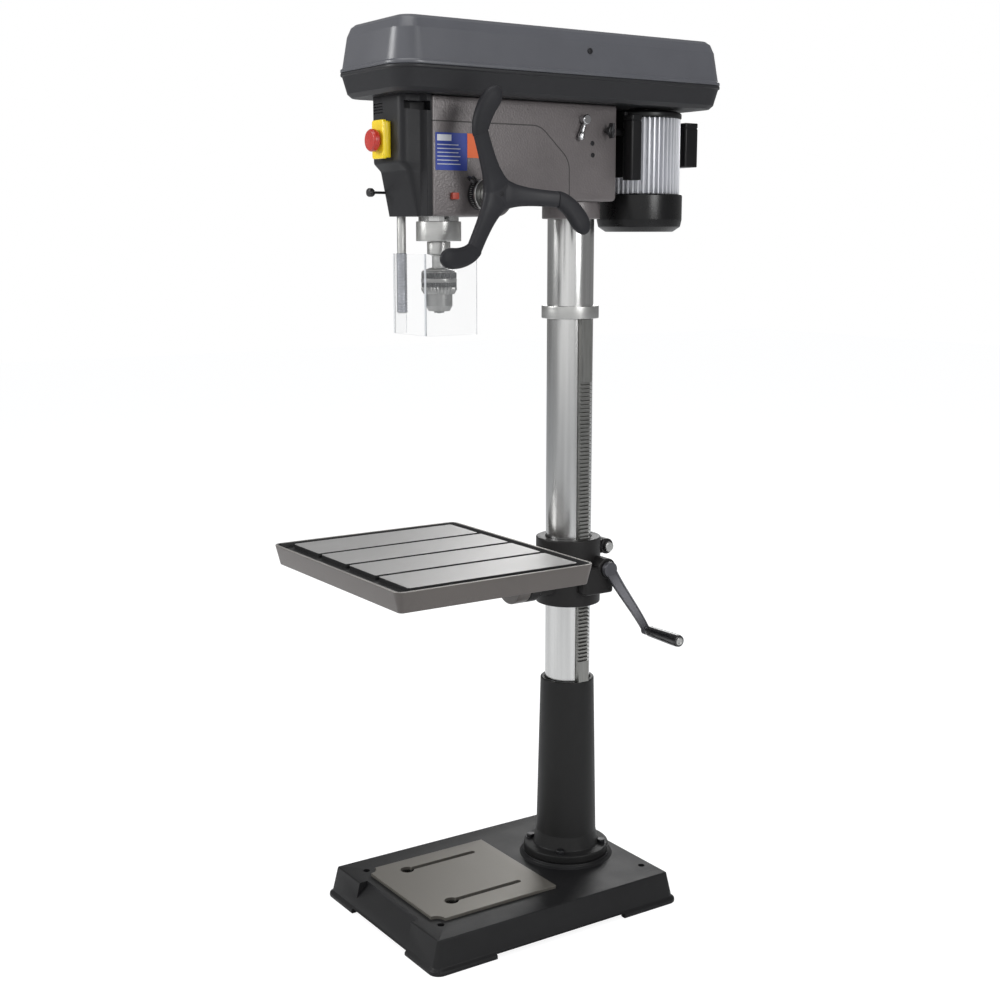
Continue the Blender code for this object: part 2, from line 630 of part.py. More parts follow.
def nose_levels(wall, low, high):
    return [nose_level(low, NOSE_HALF_FRONT - 0.002, NOSE_FRONT + NOSE_TAPER, wall),
            nose_level(TAPER_TOP, NOSE_HALF_FRONT - 0.0005, NOSE_FRONT + 0.014, wall),
            nose_level(TAPER_TOP + 0.012, NOSE_HALF_FRONT, NOSE_FRONT, wall),
            nose_level(high, NOSE_HALF_FRONT, NOSE_FRONT, wall)]


nose = piece("nose_cover", stacked(nose_levels(0.0, HEAD_HEIGHT, HEAD_TOP)), press, SATIN_BLACK, 0.5)
cut(nose, stacked(nose_levels(NOSE_WALL, HEAD_HEIGHT + NOSE_WALL, HEAD_TOP - NOSE_WALL)))
GUARD_KNOB_Z = HEAD_HEIGHT + 0.043
GUARD_SCREW_RADIUS = 0.0025
cut(nose, together(
    rod(GUARD_ROD_RADIUS + RUN, HEAD_HEIGHT - 0.01, HEAD_HEIGHT + GUARD_ROD_IN_HEAD + SEAT,
        at=(GUARD_ROD_X, GUARD_ROD_Y, 0)),
    rod(GUARD_SCREW_RADIUS + RUN, NOSE_FRONT - 0.01, FACE_Y - 0.008, turn=TURN_Y,
        at=(GUARD_ROD_X, 0, GUARD_KNOB_Z), sides=12)))

# ---- Quill, its collar and bearing ------------------------------------------------------------
quill_body = pivot("quill_body", (0, SPINDLE_Y, QUILL_FOOT), press)
BEARING_RADIUS = QUILL_BORE + 0.008
quill = piece("quill", turned([
    (BEARING_RADIUS, QUILL_FOOT),
    (QUILL_RADIUS, QUILL_FOOT),
    (QUILL_RADIUS, QUILL_TOP),
    (QUILL_BORE, QUILL_TOP),
    (QUILL_BORE, QUILL_FOOT + BEARING_HEIGHT + 0.004),
    (BEARING_RADIUS, QUILL_FOOT + BEARING_HEIGHT + 0.004),
], at=(0, SPINDLE_Y, 0), hollow=True), quill_body, GROUND_STEEL, 0.25, 1.0)
TOOTH_PITCH = pi * PINION_MODULE
TOOTH_ROOT_Y = FEED_Y - PINION_TIP - 0.0006
RACK_CUT_HALF = PINION_HALF_WIDTH + 0.0035
GAP_HALF_ROOT = 0.0013
GAP_HALF_TOP = 0.0034
FIRST_GAP = -2
LAST_GAP = int((QUILL_TRAVEL + 0.012) / TOOTH_PITCH)


def rack_gap(z):
    return side_prism([(TOOTH_ROOT_Y, z - GAP_HALF_ROOT), (TOOTH_ROOT_Y, z + GAP_HALF_ROOT),
                       (TOOTH_ROOT_Y + 0.0075, z + GAP_HALF_TOP), (TOOTH_ROOT_Y + 0.0075, z - GAP_HALF_TOP)],
                      -RACK_CUT_HALF, RACK_CUT_HALF)


# The gaps widen past the pitch line, so their mouths merge above the teeth's tips.
cut(quill, side_prism([(SPINDLE_Y + QUILL_RADIUS - 0.0006, FEED_Z + (FIRST_GAP - 0.5) * TOOTH_PITCH),
                       (SPINDLE_Y + QUILL_RADIUS - 0.0006, FEED_Z + (LAST_GAP + 0.5) * TOOTH_PITCH),
                       (SPINDLE_Y + QUILL_RADIUS + 0.01, FEED_Z + (LAST_GAP + 0.5) * TOOTH_PITCH),
                       (SPINDLE_Y + QUILL_RADIUS + 0.01, FEED_Z + (FIRST_GAP - 0.5) * TOOTH_PITCH)],
                      -RACK_CUT_HALF, RACK_CUT_HALF))
cut(quill, together(*[rack_gap(FEED_Z + k * TOOTH_PITCH) for k in range(FIRST_GAP, LAST_GAP + 1)
                      if k % 2 == 0]))
cut(quill, together(*[rack_gap(FEED_Z + k * TOOTH_PITCH) for k in range(FIRST_GAP, LAST_GAP + 1)
                      if k % 2]))

COLLAR_BORE = QUILL_RADIUS + SEAT
piece("quill_collar", turned([
    (COLLAR_BORE, QUILL_FOOT),
    (QUILL_RADIUS + COLLAR_WALL - 0.001, QUILL_FOOT),
    (QUILL_RADIUS + COLLAR_WALL, QUILL_FOOT + 0.001),
    (QUILL_RADIUS + COLLAR_WALL, QUILL_FOOT + COLLAR_HEIGHT - 0.001),
    (QUILL_RADIUS + COLLAR_WALL - 0.001, QUILL_FOOT + COLLAR_HEIGHT),
    (COLLAR_BORE, QUILL_FOOT + COLLAR_HEIGHT),
], at=(0, SPINDLE_Y, 0), hollow=True), quill_body, BRIGHT_STEEL, 0.22, 1.0)
piece("quill_bearing", turned([
    (SPINDLE_RADIUS + SEAT, QUILL_FOOT + 0.003),
    (BEARING_RADIUS - SEAT, QUILL_FOOT + 0.003),
    (BEARING_RADIUS - SEAT, QUILL_FOOT + 0.003 + BEARING_HEIGHT),
    (SPINDLE_RADIUS + SEAT, QUILL_FOOT + 0.003 + BEARING_HEIGHT),
], at=(0, SPINDLE_Y, 0), hollow=True), quill_body, BRIGHT_STEEL, 0.2, 1.0)


# ---- Spindle and chuck ------------------------------------------------------------------------
def splined(radius, depth, teeth=6, half_share=0.25):
    """A splined shaft's outline: teeth of the full radius on a core that is one depth smaller."""
    points = []
    for i in range(teeth):
        middle = 2 * pi * i / teeth
        half = 2 * pi / teeth * half_share
        points += [(radius * cos(middle + a), radius * sin(middle + a)) for a in (-half, 0, half)]
        core = radius - depth
        points += [(core * cos(middle + a), core * sin(middle + a))
                   for a in (half, pi / teeth, 2 * pi / teeth - half)]
    return points


spindle_body = pivot("spindle_body", (0, SPINDLE_Y, NOSE_FOOT), quill_body)
SPINDLE_TOP = LID_TOP - 0.012
spindle = piece("spindle_shaft", turned([
    (ARBOR_RADIUS - 0.003, CHUCK_TOP - 0.018),
    (ARBOR_RADIUS, CHUCK_TOP + 0.004),
    (ARBOR_RADIUS, NOSE_FOOT - 0.001),
    (SPINDLE_NOSE_RADIUS - 0.001, NOSE_FOOT),
    (SPINDLE_NOSE_RADIUS, NOSE_FOOT + 0.001),
    (SPINDLE_NOSE_RADIUS, QUILL_FOOT - RUN),
    (SPINDLE_RADIUS, QUILL_FOOT - RUN),
    (SPINDLE_RADIUS, QUILL_TOP - 0.004),
], at=(0, SPINDLE_Y, 0), sides=FACETS), spindle_body, BRIGHT_STEEL, 0.25, 1.0)
join(spindle, prism(splined(SPLINE_RADIUS, SPLINE_DEPTH), QUILL_TOP - 0.020, SPINDLE_TOP,
                    at=(0, SPINDLE_Y, 0)))

CHUCK_BORE_RADIUS = 0.0090
SLEEVE_SEAT = CHUCK_RADIUS + SEAT
chuck = piece("chuck_body", turned([
    (CHUCK_RADIUS - 0.004, CHUCK_FOOT),
    (CHUCK_RADIUS, CHUCK_FOOT + 0.006),
    (CHUCK_RADIUS, CHUCK_TOP - 0.003),
    (CHUCK_RADIUS - 0.008, CHUCK_TOP),
], at=(0, SPINDLE_Y, 0), sides=FACETS), spindle_body, BRIGHT_STEEL, 0.3, 1.0)
cut(chuck, rod(ARBOR_RADIUS + SEAT, CHUCK_TOP - 0.0185, CHUCK_TOP + 0.01, at=(0, SPINDLE_Y, 0), sides=32))
cut(chuck, rod(CHUCK_BORE_RADIUS, CHUCK_FOOT - 0.01, CHUCK_TOP - 0.024, at=(0, SPINDLE_Y, 0)))
JAW_FOOT = CHUCK_FOOT - JAW_PROUD
JAW_ANGLES = [radians(90 + 120 * i) for i in range(3)]


def jaw_frame(angle):
    """Turns a shape's own Z up and outwards along one jaw's slope."""
    return Matrix.Rotation(JAW_TILT, 4, Vector((-sin(angle), cos(angle), 0)))


def jaw_foot(angle):
    return (JAW_TIP_RADIUS * cos(angle), SPINDLE_Y + JAW_TIP_RADIUS * sin(angle), JAW_FOOT)


for jaw_angle in JAW_ANGLES:
    cut(chuck, rod(JAW_RADIUS + RUN, -0.02, JAW_LENGTH + 0.022, turn=jaw_frame(jaw_angle),
                   at=jaw_foot(jaw_angle), sides=SMALL_FACETS))

sleeve_pivot = pivot("chuck_sleeve_body", (0, SPINDLE_Y, CHUCK_FOOT), spindle_body)
SLEEVE_RIM = CHUCK_RADIUS + CHUCK_SLEEVE_WALL
CHUCK_SLEEVE_FOOT = CHUCK_TOP - CHUCK_SLEEVE_HEIGHT
piece("chuck_sleeve", turned([
    (SLEEVE_SEAT + 0.0002, CHUCK_SLEEVE_FOOT),
    (SLEEVE_RIM - 0.0035, CHUCK_SLEEVE_FOOT),
    (SLEEVE_RIM, CHUCK_SLEEVE_FOOT + 0.005),
    (SLEEVE_RIM, CHUCK_SLEEVE_FOOT + 0.018),
    (SLEEVE_RIM - 0.001, CHUCK_SLEEVE_FOOT + 0.019),
    (SLEEVE_RIM - 0.001, CHUCK_SLEEVE_FOOT + 0.026),
    (SLEEVE_RIM, CHUCK_SLEEVE_FOOT + 0.027),
    (SLEEVE_RIM, CHUCK_TOP - 0.008),
    (SLEEVE_RIM - 0.003, CHUCK_TOP - 0.005),
    (SLEEVE_SEAT + 0.0002, CHUCK_TOP - 0.005),
], at=(0, SPINDLE_Y, 0), sides=FACETS, hollow=True), sleeve_pivot, BRIGHT_STEEL, 0.3, 1.0)

for number, jaw_angle in enumerate(JAW_ANGLES, 1):
    jaw_pivot = pivot(f"jaw_body_{number}", jaw_foot(jaw_angle), spindle_body)
    jaw = piece(f"chuck_jaw_{number}", rod(JAW_RADIUS, 0.0, JAW_LENGTH, turn=jaw_frame(jaw_angle),
                                           at=jaw_foot(jaw_angle), sides=SMALL_FACETS),
                jaw_pivot, GROUND_STEEL, 0.35, 1.0)
    # The gripping faces are ground as a third of a circle, so the three tips close on the axis.
    tip = (SEAT / 2 / sin(pi / 3) * cos(jaw_angle), SEAT / 2 / sin(pi / 3) * sin(jaw_angle))
    reach = 0.05
    wedge = [tip] + [(tip[0] + reach * cos(jaw_angle + a), tip[1] + reach * sin(jaw_angle + a))
                     for a in (-pi / 3, 0, pi / 3)]
    combine(jaw, prism(wedge, JAW_FOOT - 0.01, CHUCK_TOP, at=(0, SPINDLE_Y, 0)), "INTERSECT")


# ---- Feed shaft and handle --------------------------------------------------------------------
def gear_outline(module, teeth, root_gap, thickness, phase=0.0):
    """A gear's outline with straight-sided teeth; thickness is the share of the pitch at its middle."""
    pitch_radius = module * teeth / 2
    levels = ((pitch_radius - module - root_gap, thickness + 0.20), (pitch_radius, thickness),
              (pitch_radius + module, thickness - 0.20))
    points = []
    for tooth in range(teeth):
        middle = phase + 2 * pi * tooth / teeth
        halves = [(radius, share * pi / teeth) for radius, share in levels]
        points += [(radius * cos(middle - half), radius * sin(middle - half)) for radius, half in halves]
        points += [(radius * cos(middle + half), radius * sin(middle + half))
                   for radius, half in reversed(halves)]
    return points


feed_body = pivot("feed_body", (0, FEED_Y, FEED_Z), press)
FEED_AT = (0, FEED_Y, FEED_Z)
HUB_FOOT = HEAD_HALF_WIDTH + 0.0006
HUB_END = HANDLE_OUT - HANDLE_THICKNESS / 2 - 0.010
SPIGOT_RADIUS = 0.010
SPIGOT_END = HANDLE_OUT + 0.006
feed_shaft = piece("feed_shaft", turned([
    (FEED_TAIL_RADIUS, -HEAD_HALF_WIDTH - 0.020),
    (FEED_TAIL_RADIUS, -PINION_HALF_WIDTH + 0.002),
    (FEED_BEARING_RADIUS - 0.006, -PINION_HALF_WIDTH + 0.002),
    (FEED_BEARING_RADIUS - 0.006, RACK_CUT_HALF),
    (PINION_TIP, RACK_CUT_HALF + 0.001),
    (PINION_TIP, HUB_FOOT),
    (FEED_HUB_RADIUS, HUB_FOOT),
    (FEED_HUB_RADIUS, HUB_END),
    (SPIGOT_RADIUS, HUB_END),
    (SPIGOT_RADIUS, SPIGOT_END),
], turn=TURN_X, at=FEED_AT, sides=SMALL_FACETS), feed_body, BRIGHT_STEEL, 0.25, 1.0)
# The outline's own X lies along -Z once it is laid along X, and its Y stays Y.
join(feed_shaft, prism(gear_outline(PINION_MODULE, PINION_TEETH, 0.0004, 0.40, phase=pi / 2),
                       -PINION_HALF_WIDTH, RACK_CUT_HALF + 0.002, turn=TURN_X, at=FEED_AT))


BEND_START = GRIP_START + 0.002


def blade_point(radius):
    """The blade's middle line: straight out at first, then swept round towards its tip."""
    bend = max(0.0, (radius - BEND_START) / (HANDLE_RADIUS - BEND_START))
    angle = BLADE_BASE_ANGLE - BLADE_SWEEP * bend ** 1.3
    return Vector((0, radius * cos(angle), radius * sin(angle)))


def blade_part(start, end, count, widths, number, ends_round):
    """A stretch of one blade as ovals across its middle line, with the widths given at both ends."""
    spin = Matrix.Rotation(-2 * pi * number / 3, 3, "X")
    rings = []
    for i in range(count + 1):
        share = i / count
        radius = start + (end - start) * share
        before = blade_point(radius - 0.001)
        along = (blade_point(radius + 0.001) - before).normalized()
        across = Vector((0, -along.z, along.y))
        width = widths[0] + (widths[1] - widths[0]) * share
        thick = HANDLE_THICKNESS
        if ends_round:
            shrink = sqrt(max(0.0, 1 - max(0.0, (share - 0.75) / 0.25) ** 2 * 0.94))
            width *= shrink
            thick *= shrink
        ring = []
        for k in range(12):
            a = 2 * pi * k / 12
            point = blade_point(radius) + across * (width / 2 * cos(a))
            ring.append(Vector((HANDLE_OUT + thick / 2 * sin(a), 0, 0))
                        + spin @ point + Vector((0, FEED_Y, FEED_Z)))
        rings.append(ring)
    return skin(rings)


spider = piece("feed_spider", turned([
    (HANDLE_HUB_RADIUS - 0.004, -HANDLE_THICKNESS / 2 - 0.008),
    (HANDLE_HUB_RADIUS, -HANDLE_THICKNESS / 2 - 0.004),
    (HANDLE_HUB_RADIUS, HANDLE_THICKNESS / 2 - 0.003),
    (HANDLE_HUB_RADIUS - 0.006, HANDLE_THICKNESS / 2 + 0.001),
], turn=TURN_X, at=(HANDLE_OUT, FEED_Y, FEED_Z), sides=SMALL_FACETS), feed_body, HANDLE_GREY, 0.5)
for number in range(3):
    join(spider, blade_part(0.008, GRIP_START - SEAT, 5, (0.052, BLADE_WIDTH), number, False))
cut(spider, rod(SPIGOT_RADIUS + SEAT, -0.04, SPIGOT_END - HANDLE_OUT + SEAT, turn=TURN_X,
                at=(HANDLE_OUT, FEED_Y, FEED_Z)))
cut(spider, rod(0.004, 0, 0.02, turn=TURN_X, at=(HANDLE_OUT + 0.004, FEED_Y, FEED_Z), sides=12))
for number in range(3):
    piece(f"feed_grip_{number + 1}",
          blade_part(GRIP_START, HANDLE_RADIUS, 10, (BLADE_WIDTH + 0.002, GRIP_WIDTH), number, True),
          feed_body, HANDLE_GREY, 0.6)

# ---- Depth ring with its lock knob ------------------------------------------------------------
ring_body = pivot("depth_ring_body", (HUB_FOOT, FEED_Y, FEED_Z), feed_body)
RING_BORE = FEED_HUB_RADIUS + RUN
depth_ring = piece("depth_ring", turned([
    (RING_BORE, HUB_FOOT),
    (DEPTH_RING_RADIUS - 0.002, HUB_FOOT),
    (DEPTH_RING_RADIUS - 0.002, HUB_FOOT + DEPTH_RING_WIDTH - 0.006),
    (DEPTH_RING_RADIUS, HUB_FOOT + DEPTH_RING_WIDTH - 0.005),
    (DEPTH_RING_RADIUS, HUB_FOOT + DEPTH_RING_WIDTH - 0.001),
    (RING_BORE, HUB_FOOT + DEPTH_RING_WIDTH - 0.001),
], turn=TURN_X, at=FEED_AT, hollow=True), ring_body, BRIGHT_STEEL, 0.2, 1.0)
KNOB_ANGLE = radians(135)
KNOB_X = HUB_FOOT + 0.014
KNOB_LEAN = Matrix.Rotation(KNOB_ANGLE - pi / 2, 4, "X")   # a shape's own Z to the knob's radius
cut(depth_ring, rod(0.0034, FEED_HUB_RADIUS - 0.002, DEPTH_RING_RADIUS + 0.01,
                    turn=KNOB_LEAN, at=(KNOB_X, FEED_Y, FEED_Z), sides=12))
knob_body = pivot("depth_knob_body", (KNOB_X, FEED_Y, FEED_Z), ring_body)


def wing_knob(stem_radius, stem_start, seat, hub_radius, hub_height, span, turn, at, sides=SMALL_FACETS):
    """A knob with a threaded stem, a round hub and two flat wings, along its own Z."""
    round_part = turned([
        (stem_radius, stem_start),
        (stem_radius, seat),
        (hub_radius, seat),
        (hub_radius * 0.9, seat + hub_height),
    ], turn, at, sides=sides)
    wings = placed(skin([[(x, -0.0025, z) for x, z in (
        (-hub_radius * 0.6, seat + 0.001), (hub_radius * 0.6, seat + 0.001),
        (span / 2, seat + hub_height * 0.5), (span / 2 * 0.9, seat + hub_height * 1.5),
        (0, seat + hub_height * 1.15), (-span / 2 * 0.9, seat + hub_height * 1.5),
        (-span / 2, seat + hub_height * 0.5))],
        [(x, 0.0025, z) for x, z in (
        (-hub_radius * 0.6, seat + 0.001), (hub_radius * 0.6, seat + 0.001),
        (span / 2, seat + hub_height * 0.5), (span / 2 * 0.9, seat + hub_height * 1.5),
        (0, seat + hub_height * 1.15), (-span / 2 * 0.9, seat + hub_height * 1.5),
        (-span / 2, seat + hub_height * 0.5))]]), turn, at)
    return round_part, wings


knob_round, knob_wings = wing_knob(0.0029, FEED_HUB_RADIUS + RUN, DEPTH_RING_RADIUS + 0.0004, 0.006, 0.010,
                                   0.022, KNOB_LEAN, (KNOB_X, FEED_Y, FEED_Z))
depth_knob = piece("depth_knob", knob_round, knob_body, RUBBER_BLACK, 0.5)
join(depth_knob, knob_wings)

# ---- Return spring in its cap -----------------------------------------------------------------
CAP_FACE = -HEAD_HALF_WIDTH - SEAT
spring_cap = piece("spring_cap", turned([
    (SPRING_CAP_RADIUS, CAP_FACE),
    (SPRING_CAP_RADIUS, CAP_FACE - SPRING_CAP_DEPTH + 0.003),
    (SPRING_CAP_RADIUS - 0.003, CAP_FACE - SPRING_CAP_DEPTH),
], turn=TURN_X, at=FEED_AT, sides=FACETS), press, SATIN_BLACK, 0.4, 0.5)
cut(spring_cap, rod(SPRING_CAP_RADIUS - 0.0025, CAP_FACE - SPRING_CAP_DEPTH + 0.0025, 0, turn=TURN_X,
                    at=FEED_AT, sides=FACETS))


def spring_point(share, offset, x):
    start = FEED_TAIL_RADIUS + 0.0008
    end = SPRING_CAP_RADIUS - 0.0045
    radius = start + (end - start) * share + offset
    angle = 2 * pi * SPRING_TURNS * share
    return (x, FEED_Y + radius * cos(angle), FEED_Z + radius * sin(angle))


SPRING_STEPS = 32
SPRING_THICKNESS = 0.0012
spring_x = (CAP_FACE - SPRING_CAP_DEPTH + 0.005, CAP_FACE - 0.004)
piece("return_spring", skin([
    [spring_point(i / SPRING_STEPS, offset, x) for offset, x in (
        (0, spring_x[0]), (0, spring_x[1]), (SPRING_THICKNESS, spring_x[1]), (SPRING_THICKNESS, spring_x[0]))]
    for i in range(SPRING_STEPS + 1)]), press, GROUND_STEEL, 0.3, 1.0)

# ---- Chuck guard: rod, clamp, clear shield, lock knob -----------------------------------------
rod_body = pivot("guard_rod_body", (GUARD_ROD_X, GUARD_ROD_Y, HEAD_HEIGHT), press)
ROD_AT = (GUARD_ROD_X, GUARD_ROD_Y, 0)
ROD_TOP = HEAD_HEIGHT + GUARD_ROD_IN_HEAD
ROD_FOOT = ROD_TOP - GUARD_ROD_LENGTH
piece("guard_rod", rod(GUARD_ROD_RADIUS, ROD_FOOT, ROD_TOP, at=ROD_AT), rod_body, BRIGHT_STEEL, 0.2, 1.0)
shield_body = pivot("shield_body", (GUARD_ROD_X, GUARD_ROD_Y, ROD_FOOT), rod_body)
CLAMP_FOOT = ROD_FOOT + 0.002
CLAMP_TOP = CLAMP_FOOT + CLAMP_HEIGHT
shield_clamp = piece("shield_clamp", turned([
    (GUARD_ROD_RADIUS + SEAT, CLAMP_FOOT), (CLAMP_RADIUS, CLAMP_FOOT),
    (CLAMP_RADIUS, CLAMP_TOP), (GUARD_ROD_RADIUS + SEAT, CLAMP_TOP),
], at=ROD_AT, sides=SMALL_FACETS, hollow=True), shield_body, CAST_ALUMINIUM, 0.35, 0.9)
SHIELD_LEFT = -SHIELD_HALF_WIDTH + SHIELD_WALL
join(shield_clamp, block(SHIELD_LEFT + SEAT, GUARD_ROD_X - GUARD_ROD_RADIUS - 0.0012, GUARD_ROD_Y - 0.005,
                         GUARD_ROD_Y + 0.014, CLAMP_FOOT + 0.001, CLAMP_TOP - 0.001))
SHIELD_FOOT = SHIELD_TOP - SHIELD_HEIGHT
bend = 0.008


def shield_path(inset):
    """The bent sheet from above: a short flange by the rod, the front and the long right side."""
    left, right = -SHIELD_HALF_WIDTH + inset, SHIELD_HALF_WIDTH - inset
    front = SHIELD_Y + inset
    radius = bend - inset
    points = [(left, SHIELD_Y + SHIELD_FLANGE)]
    points += [(left + radius - radius * cos(a), front + radius - radius * sin(a))
               for a in (radians(22.5 * i) for i in range(5))]
    points += [(right - radius + radius * sin(a), front + radius - radius * cos(a))
               for a in (radians(22.5 * i) for i in range(5))]
    return points + [(right, SHIELD_Y + SHIELD_DEPTH)]


piece("guard_shield", prism(shield_path(0) + shield_path(SHIELD_WALL)[::-1], SHIELD_FOOT, SHIELD_TOP),
      shield_body, (0.85, 0.88, 0.88), 0.1, 0.0, 0.3)
GUARD_KNOB_FACE = NOSE_FRONT - 0.002
knob_pivot = pivot("guard_knob_body", (GUARD_ROD_X, GUARD_KNOB_FACE, GUARD_KNOB_Z), press)
piece("guard_knob", turned([
    (GUARD_SCREW_RADIUS, GUARD_ROD_Y - GUARD_ROD_RADIUS - SEAT),
    (GUARD_SCREW_RADIUS, GUARD_KNOB_FACE + 0.006),
    (0.007, GUARD_KNOB_FACE + 0.004),
    (0.008, GUARD_KNOB_FACE - 0.002),
    (0.008, GUARD_KNOB_FACE - 0.008),
    (0.006, GUARD_KNOB_FACE - 0.010),
], turn=TURN_Y, at=(GUARD_ROD_X, 0, GUARD_KNOB_Z), sides=SMALL_FACETS), knob_pivot, RUBBER_BLACK, 0.5)

# ---- Switch -----------------------------------------------------------------------------------
SWITCH_Z = HEAD_HEIGHT + 0.135
SWITCH_HALF_HEIGHT = 0.034
SWITCH_HALF_WIDTH = 0.021
SWITCH_BACK = NOSE_FRONT - SEAT
SWITCH_FACE = SWITCH_BACK - 0.009
FLAP_FACE = SWITCH_FACE - 0.008
switch_box = piece("switch_box", block(-SWITCH_HALF_WIDTH + 0.002, SWITCH_HALF_WIDTH - 0.002, SWITCH_FACE,
                                       SWITCH_BACK, SWITCH_Z - SWITCH_HALF_HEIGHT + 0.002,
                                       SWITCH_Z + SWITCH_HALF_HEIGHT - 0.002),
                   press, SAFETY_YELLOW, 0.4)
BUTTON_RADIUS = 0.008
BUTTON_SPACING = 0.013
cut(switch_box, together(*[rod(BUTTON_RADIUS + RUN, SWITCH_FACE - 0.01, SWITCH_BACK - 0.001, turn=TURN_Y,
                               at=(0, 0, SWITCH_Z + side * BUTTON_SPACING), sides=SMALL_FACETS)
                           for side in (-1, 1)]))
for name, side, colour in (("start_button", 1, START_GREEN), ("stop_button", -1, STOP_RED)):
    button_z = SWITCH_Z + side * BUTTON_SPACING
    button_body = pivot(f"{name}_body", (0, SWITCH_FACE, button_z), press)
    piece(name, rod(BUTTON_RADIUS, SWITCH_FACE - 0.0015, SWITCH_FACE + 0.0045, turn=TURN_Y,
                    at=(0, 0, button_z), sides=SMALL_FACETS), button_body, colour, 0.35)
FLAP_TOP = SWITCH_Z + SWITCH_HALF_HEIGHT
flap_body = pivot("flap_body", (0, SWITCH_FACE - 0.002, FLAP_TOP - 0.0006), press)
flap = piece("switch_flap", stacked([
    (SWITCH_FACE - SEAT, rounded(-SWITCH_HALF_WIDTH, SWITCH_HALF_WIDTH, -FLAP_TOP,
                                 -FLAP_TOP + 2 * SWITCH_HALF_HEIGHT, 0.005)),
    (FLAP_FACE + 0.002, rounded(-SWITCH_HALF_WIDTH, SWITCH_HALF_WIDTH, -FLAP_TOP,
                                -FLAP_TOP + 2 * SWITCH_HALF_HEIGHT, 0.005)),
    (FLAP_FACE, rounded(-SWITCH_HALF_WIDTH + 0.002, SWITCH_HALF_WIDTH - 0.002, -FLAP_TOP + 0.002,
                        -FLAP_TOP + 2 * SWITCH_HALF_HEIGHT - 0.002, 0.004)),
], turn=TURN_Y), flap_body, SAFETY_YELLOW, 0.35)
cut(flap, block(-SWITCH_HALF_WIDTH + 0.002, SWITCH_HALF_WIDTH - 0.002, FLAP_FACE + 0.002, SWITCH_FACE + 0.01,
                FLAP_TOP - 2 * SWITCH_HALF_HEIGHT + 0.002, FLAP_TOP - 0.002))
MUSHROOM_Z = SWITCH_Z - 0.002
MUSHROOM_STEM = 0.005
MUSHROOM_RADIUS = 0.020
MUSHROOM_TRAVEL = 0.003
cut(flap, rod(MUSHROOM_STEM + RUN, FLAP_FACE - 0.01, FLAP_FACE + 0.01, turn=TURN_Y,
              at=(0, 0, MUSHROOM_Z), sides=SMALL_FACETS))
MUSHROOM_FOOT = FLAP_FACE - MUSHROOM_TRAVEL - 0.001
mushroom_body = pivot("mushroom_body", (0, MUSHROOM_FOOT, MUSHROOM_Z), flap_body)
piece("stop_mushroom", turned([
    (MUSHROOM_STEM, FLAP_FACE + 0.0022),
    (MUSHROOM_STEM, MUSHROOM_FOOT),
    (MUSHROOM_RADIUS - 0.0015, MUSHROOM_FOOT),
    (MUSHROOM_RADIUS, MUSHROOM_FOOT - 0.003),
    (MUSHROOM_RADIUS - 0.0005, MUSHROOM_FOOT - 0.009),
    (MUSHROOM_RADIUS - 0.004, MUSHROOM_FOOT - 0.013),
], turn=TURN_Y, at=(0, 0, MUSHROOM_Z), sides=SMALL_FACETS), mushroom_body, STOP_RED, 0.35)


# ---- Belt cover -------------------------------------------------------------------------------
def cover_outline(inset):
    half = COVER_HALF_WIDTH - inset
    return rounded(-half, half, -COVER_FRONT + inset, COVER_REAR - inset, COVER_CORNER - inset * 0.6, 4)


TRAY_FLOOR = TRAY_FOOT + COVER_WALL
tray = piece("belt_tray", stacked([
    (TRAY_FOOT, cover_outline(TRAY_INSET + 0.008)),
    (TRAY_FOOT + 0.006, cover_outline(TRAY_INSET)),
    (RIM_Z - RIM_BEAD, cover_outline(0.003)),
    (RIM_Z - RIM_BEAD + 0.002, cover_outline(0.0)),
    (RIM_Z, cover_outline(0.0)),
]), press, IRON_BLACK, 0.45)
cut(tray, stacked([
    (TRAY_FLOOR, cover_outline(TRAY_INSET + 0.010)),
    (RIM_Z - RIM_BEAD, cover_outline(0.006)),
    (RIM_Z + 0.01, cover_outline(0.006)),
]))
SHAFT_SLOT = MOTOR_SHAFT_RADIUS + 0.004
cut(tray, rod(PULLEY_HUB_RADIUS + RUN + 0.001, TRAY_FOOT - 0.01, TRAY_FLOOR + 0.01, at=(0, SPINDLE_Y, 0),
              sides=FACETS))
cut(tray, prism(rounded(-SHAFT_SLOT, SHAFT_SLOT, MOTOR_Y - SHAFT_SLOT - MOTOR_SLIDE, MOTOR_Y + SHAFT_SLOT,
                        SHAFT_SLOT - 0.001), TRAY_FOOT - 0.01, TRAY_FLOOR + 0.01))

lid_body = pivot("lid_body", (-COVER_HALF_WIDTH - 0.003, 0, RIM_Z + SEAT), press)
LID_FOOT = RIM_Z + SEAT
LID_SIDE = LID_FOOT + RIM_BEAD
lid_levels = [(LID_FOOT, 0.0), (LID_SIDE - 0.002, 0.0), (LID_SIDE, 0.004),
              (LID_TOP - 0.022, LID_INSET * 0.45), (LID_TOP - 0.006, LID_INSET * 0.72), (LID_TOP, LID_INSET)]
lid = piece("guard_lid", stacked([(z, cover_outline(inset)) for z, inset in lid_levels]), lid_body,
            COVER_GREY, 0.4, 0.1)
cut(lid, stacked([
    (LID_FOOT - 0.01, cover_outline(0.006)),
    (LID_SIDE, cover_outline(0.007)),
    (LID_TOP - 0.022, cover_outline(LID_INSET * 0.45 + COVER_WALL)),
    (LID_TOP - 0.006 - COVER_WALL / 2, cover_outline(LID_INSET * 0.72 + COVER_WALL)),
    (LID_TOP - COVER_WALL, cover_outline(LID_INSET + COVER_WALL * 0.6)),
]))
HINGE_X = -COVER_HALF_WIDTH - 0.003
HINGE_Z = LID_FOOT
NOTCH = HINGE_RADIUS + 0.0007
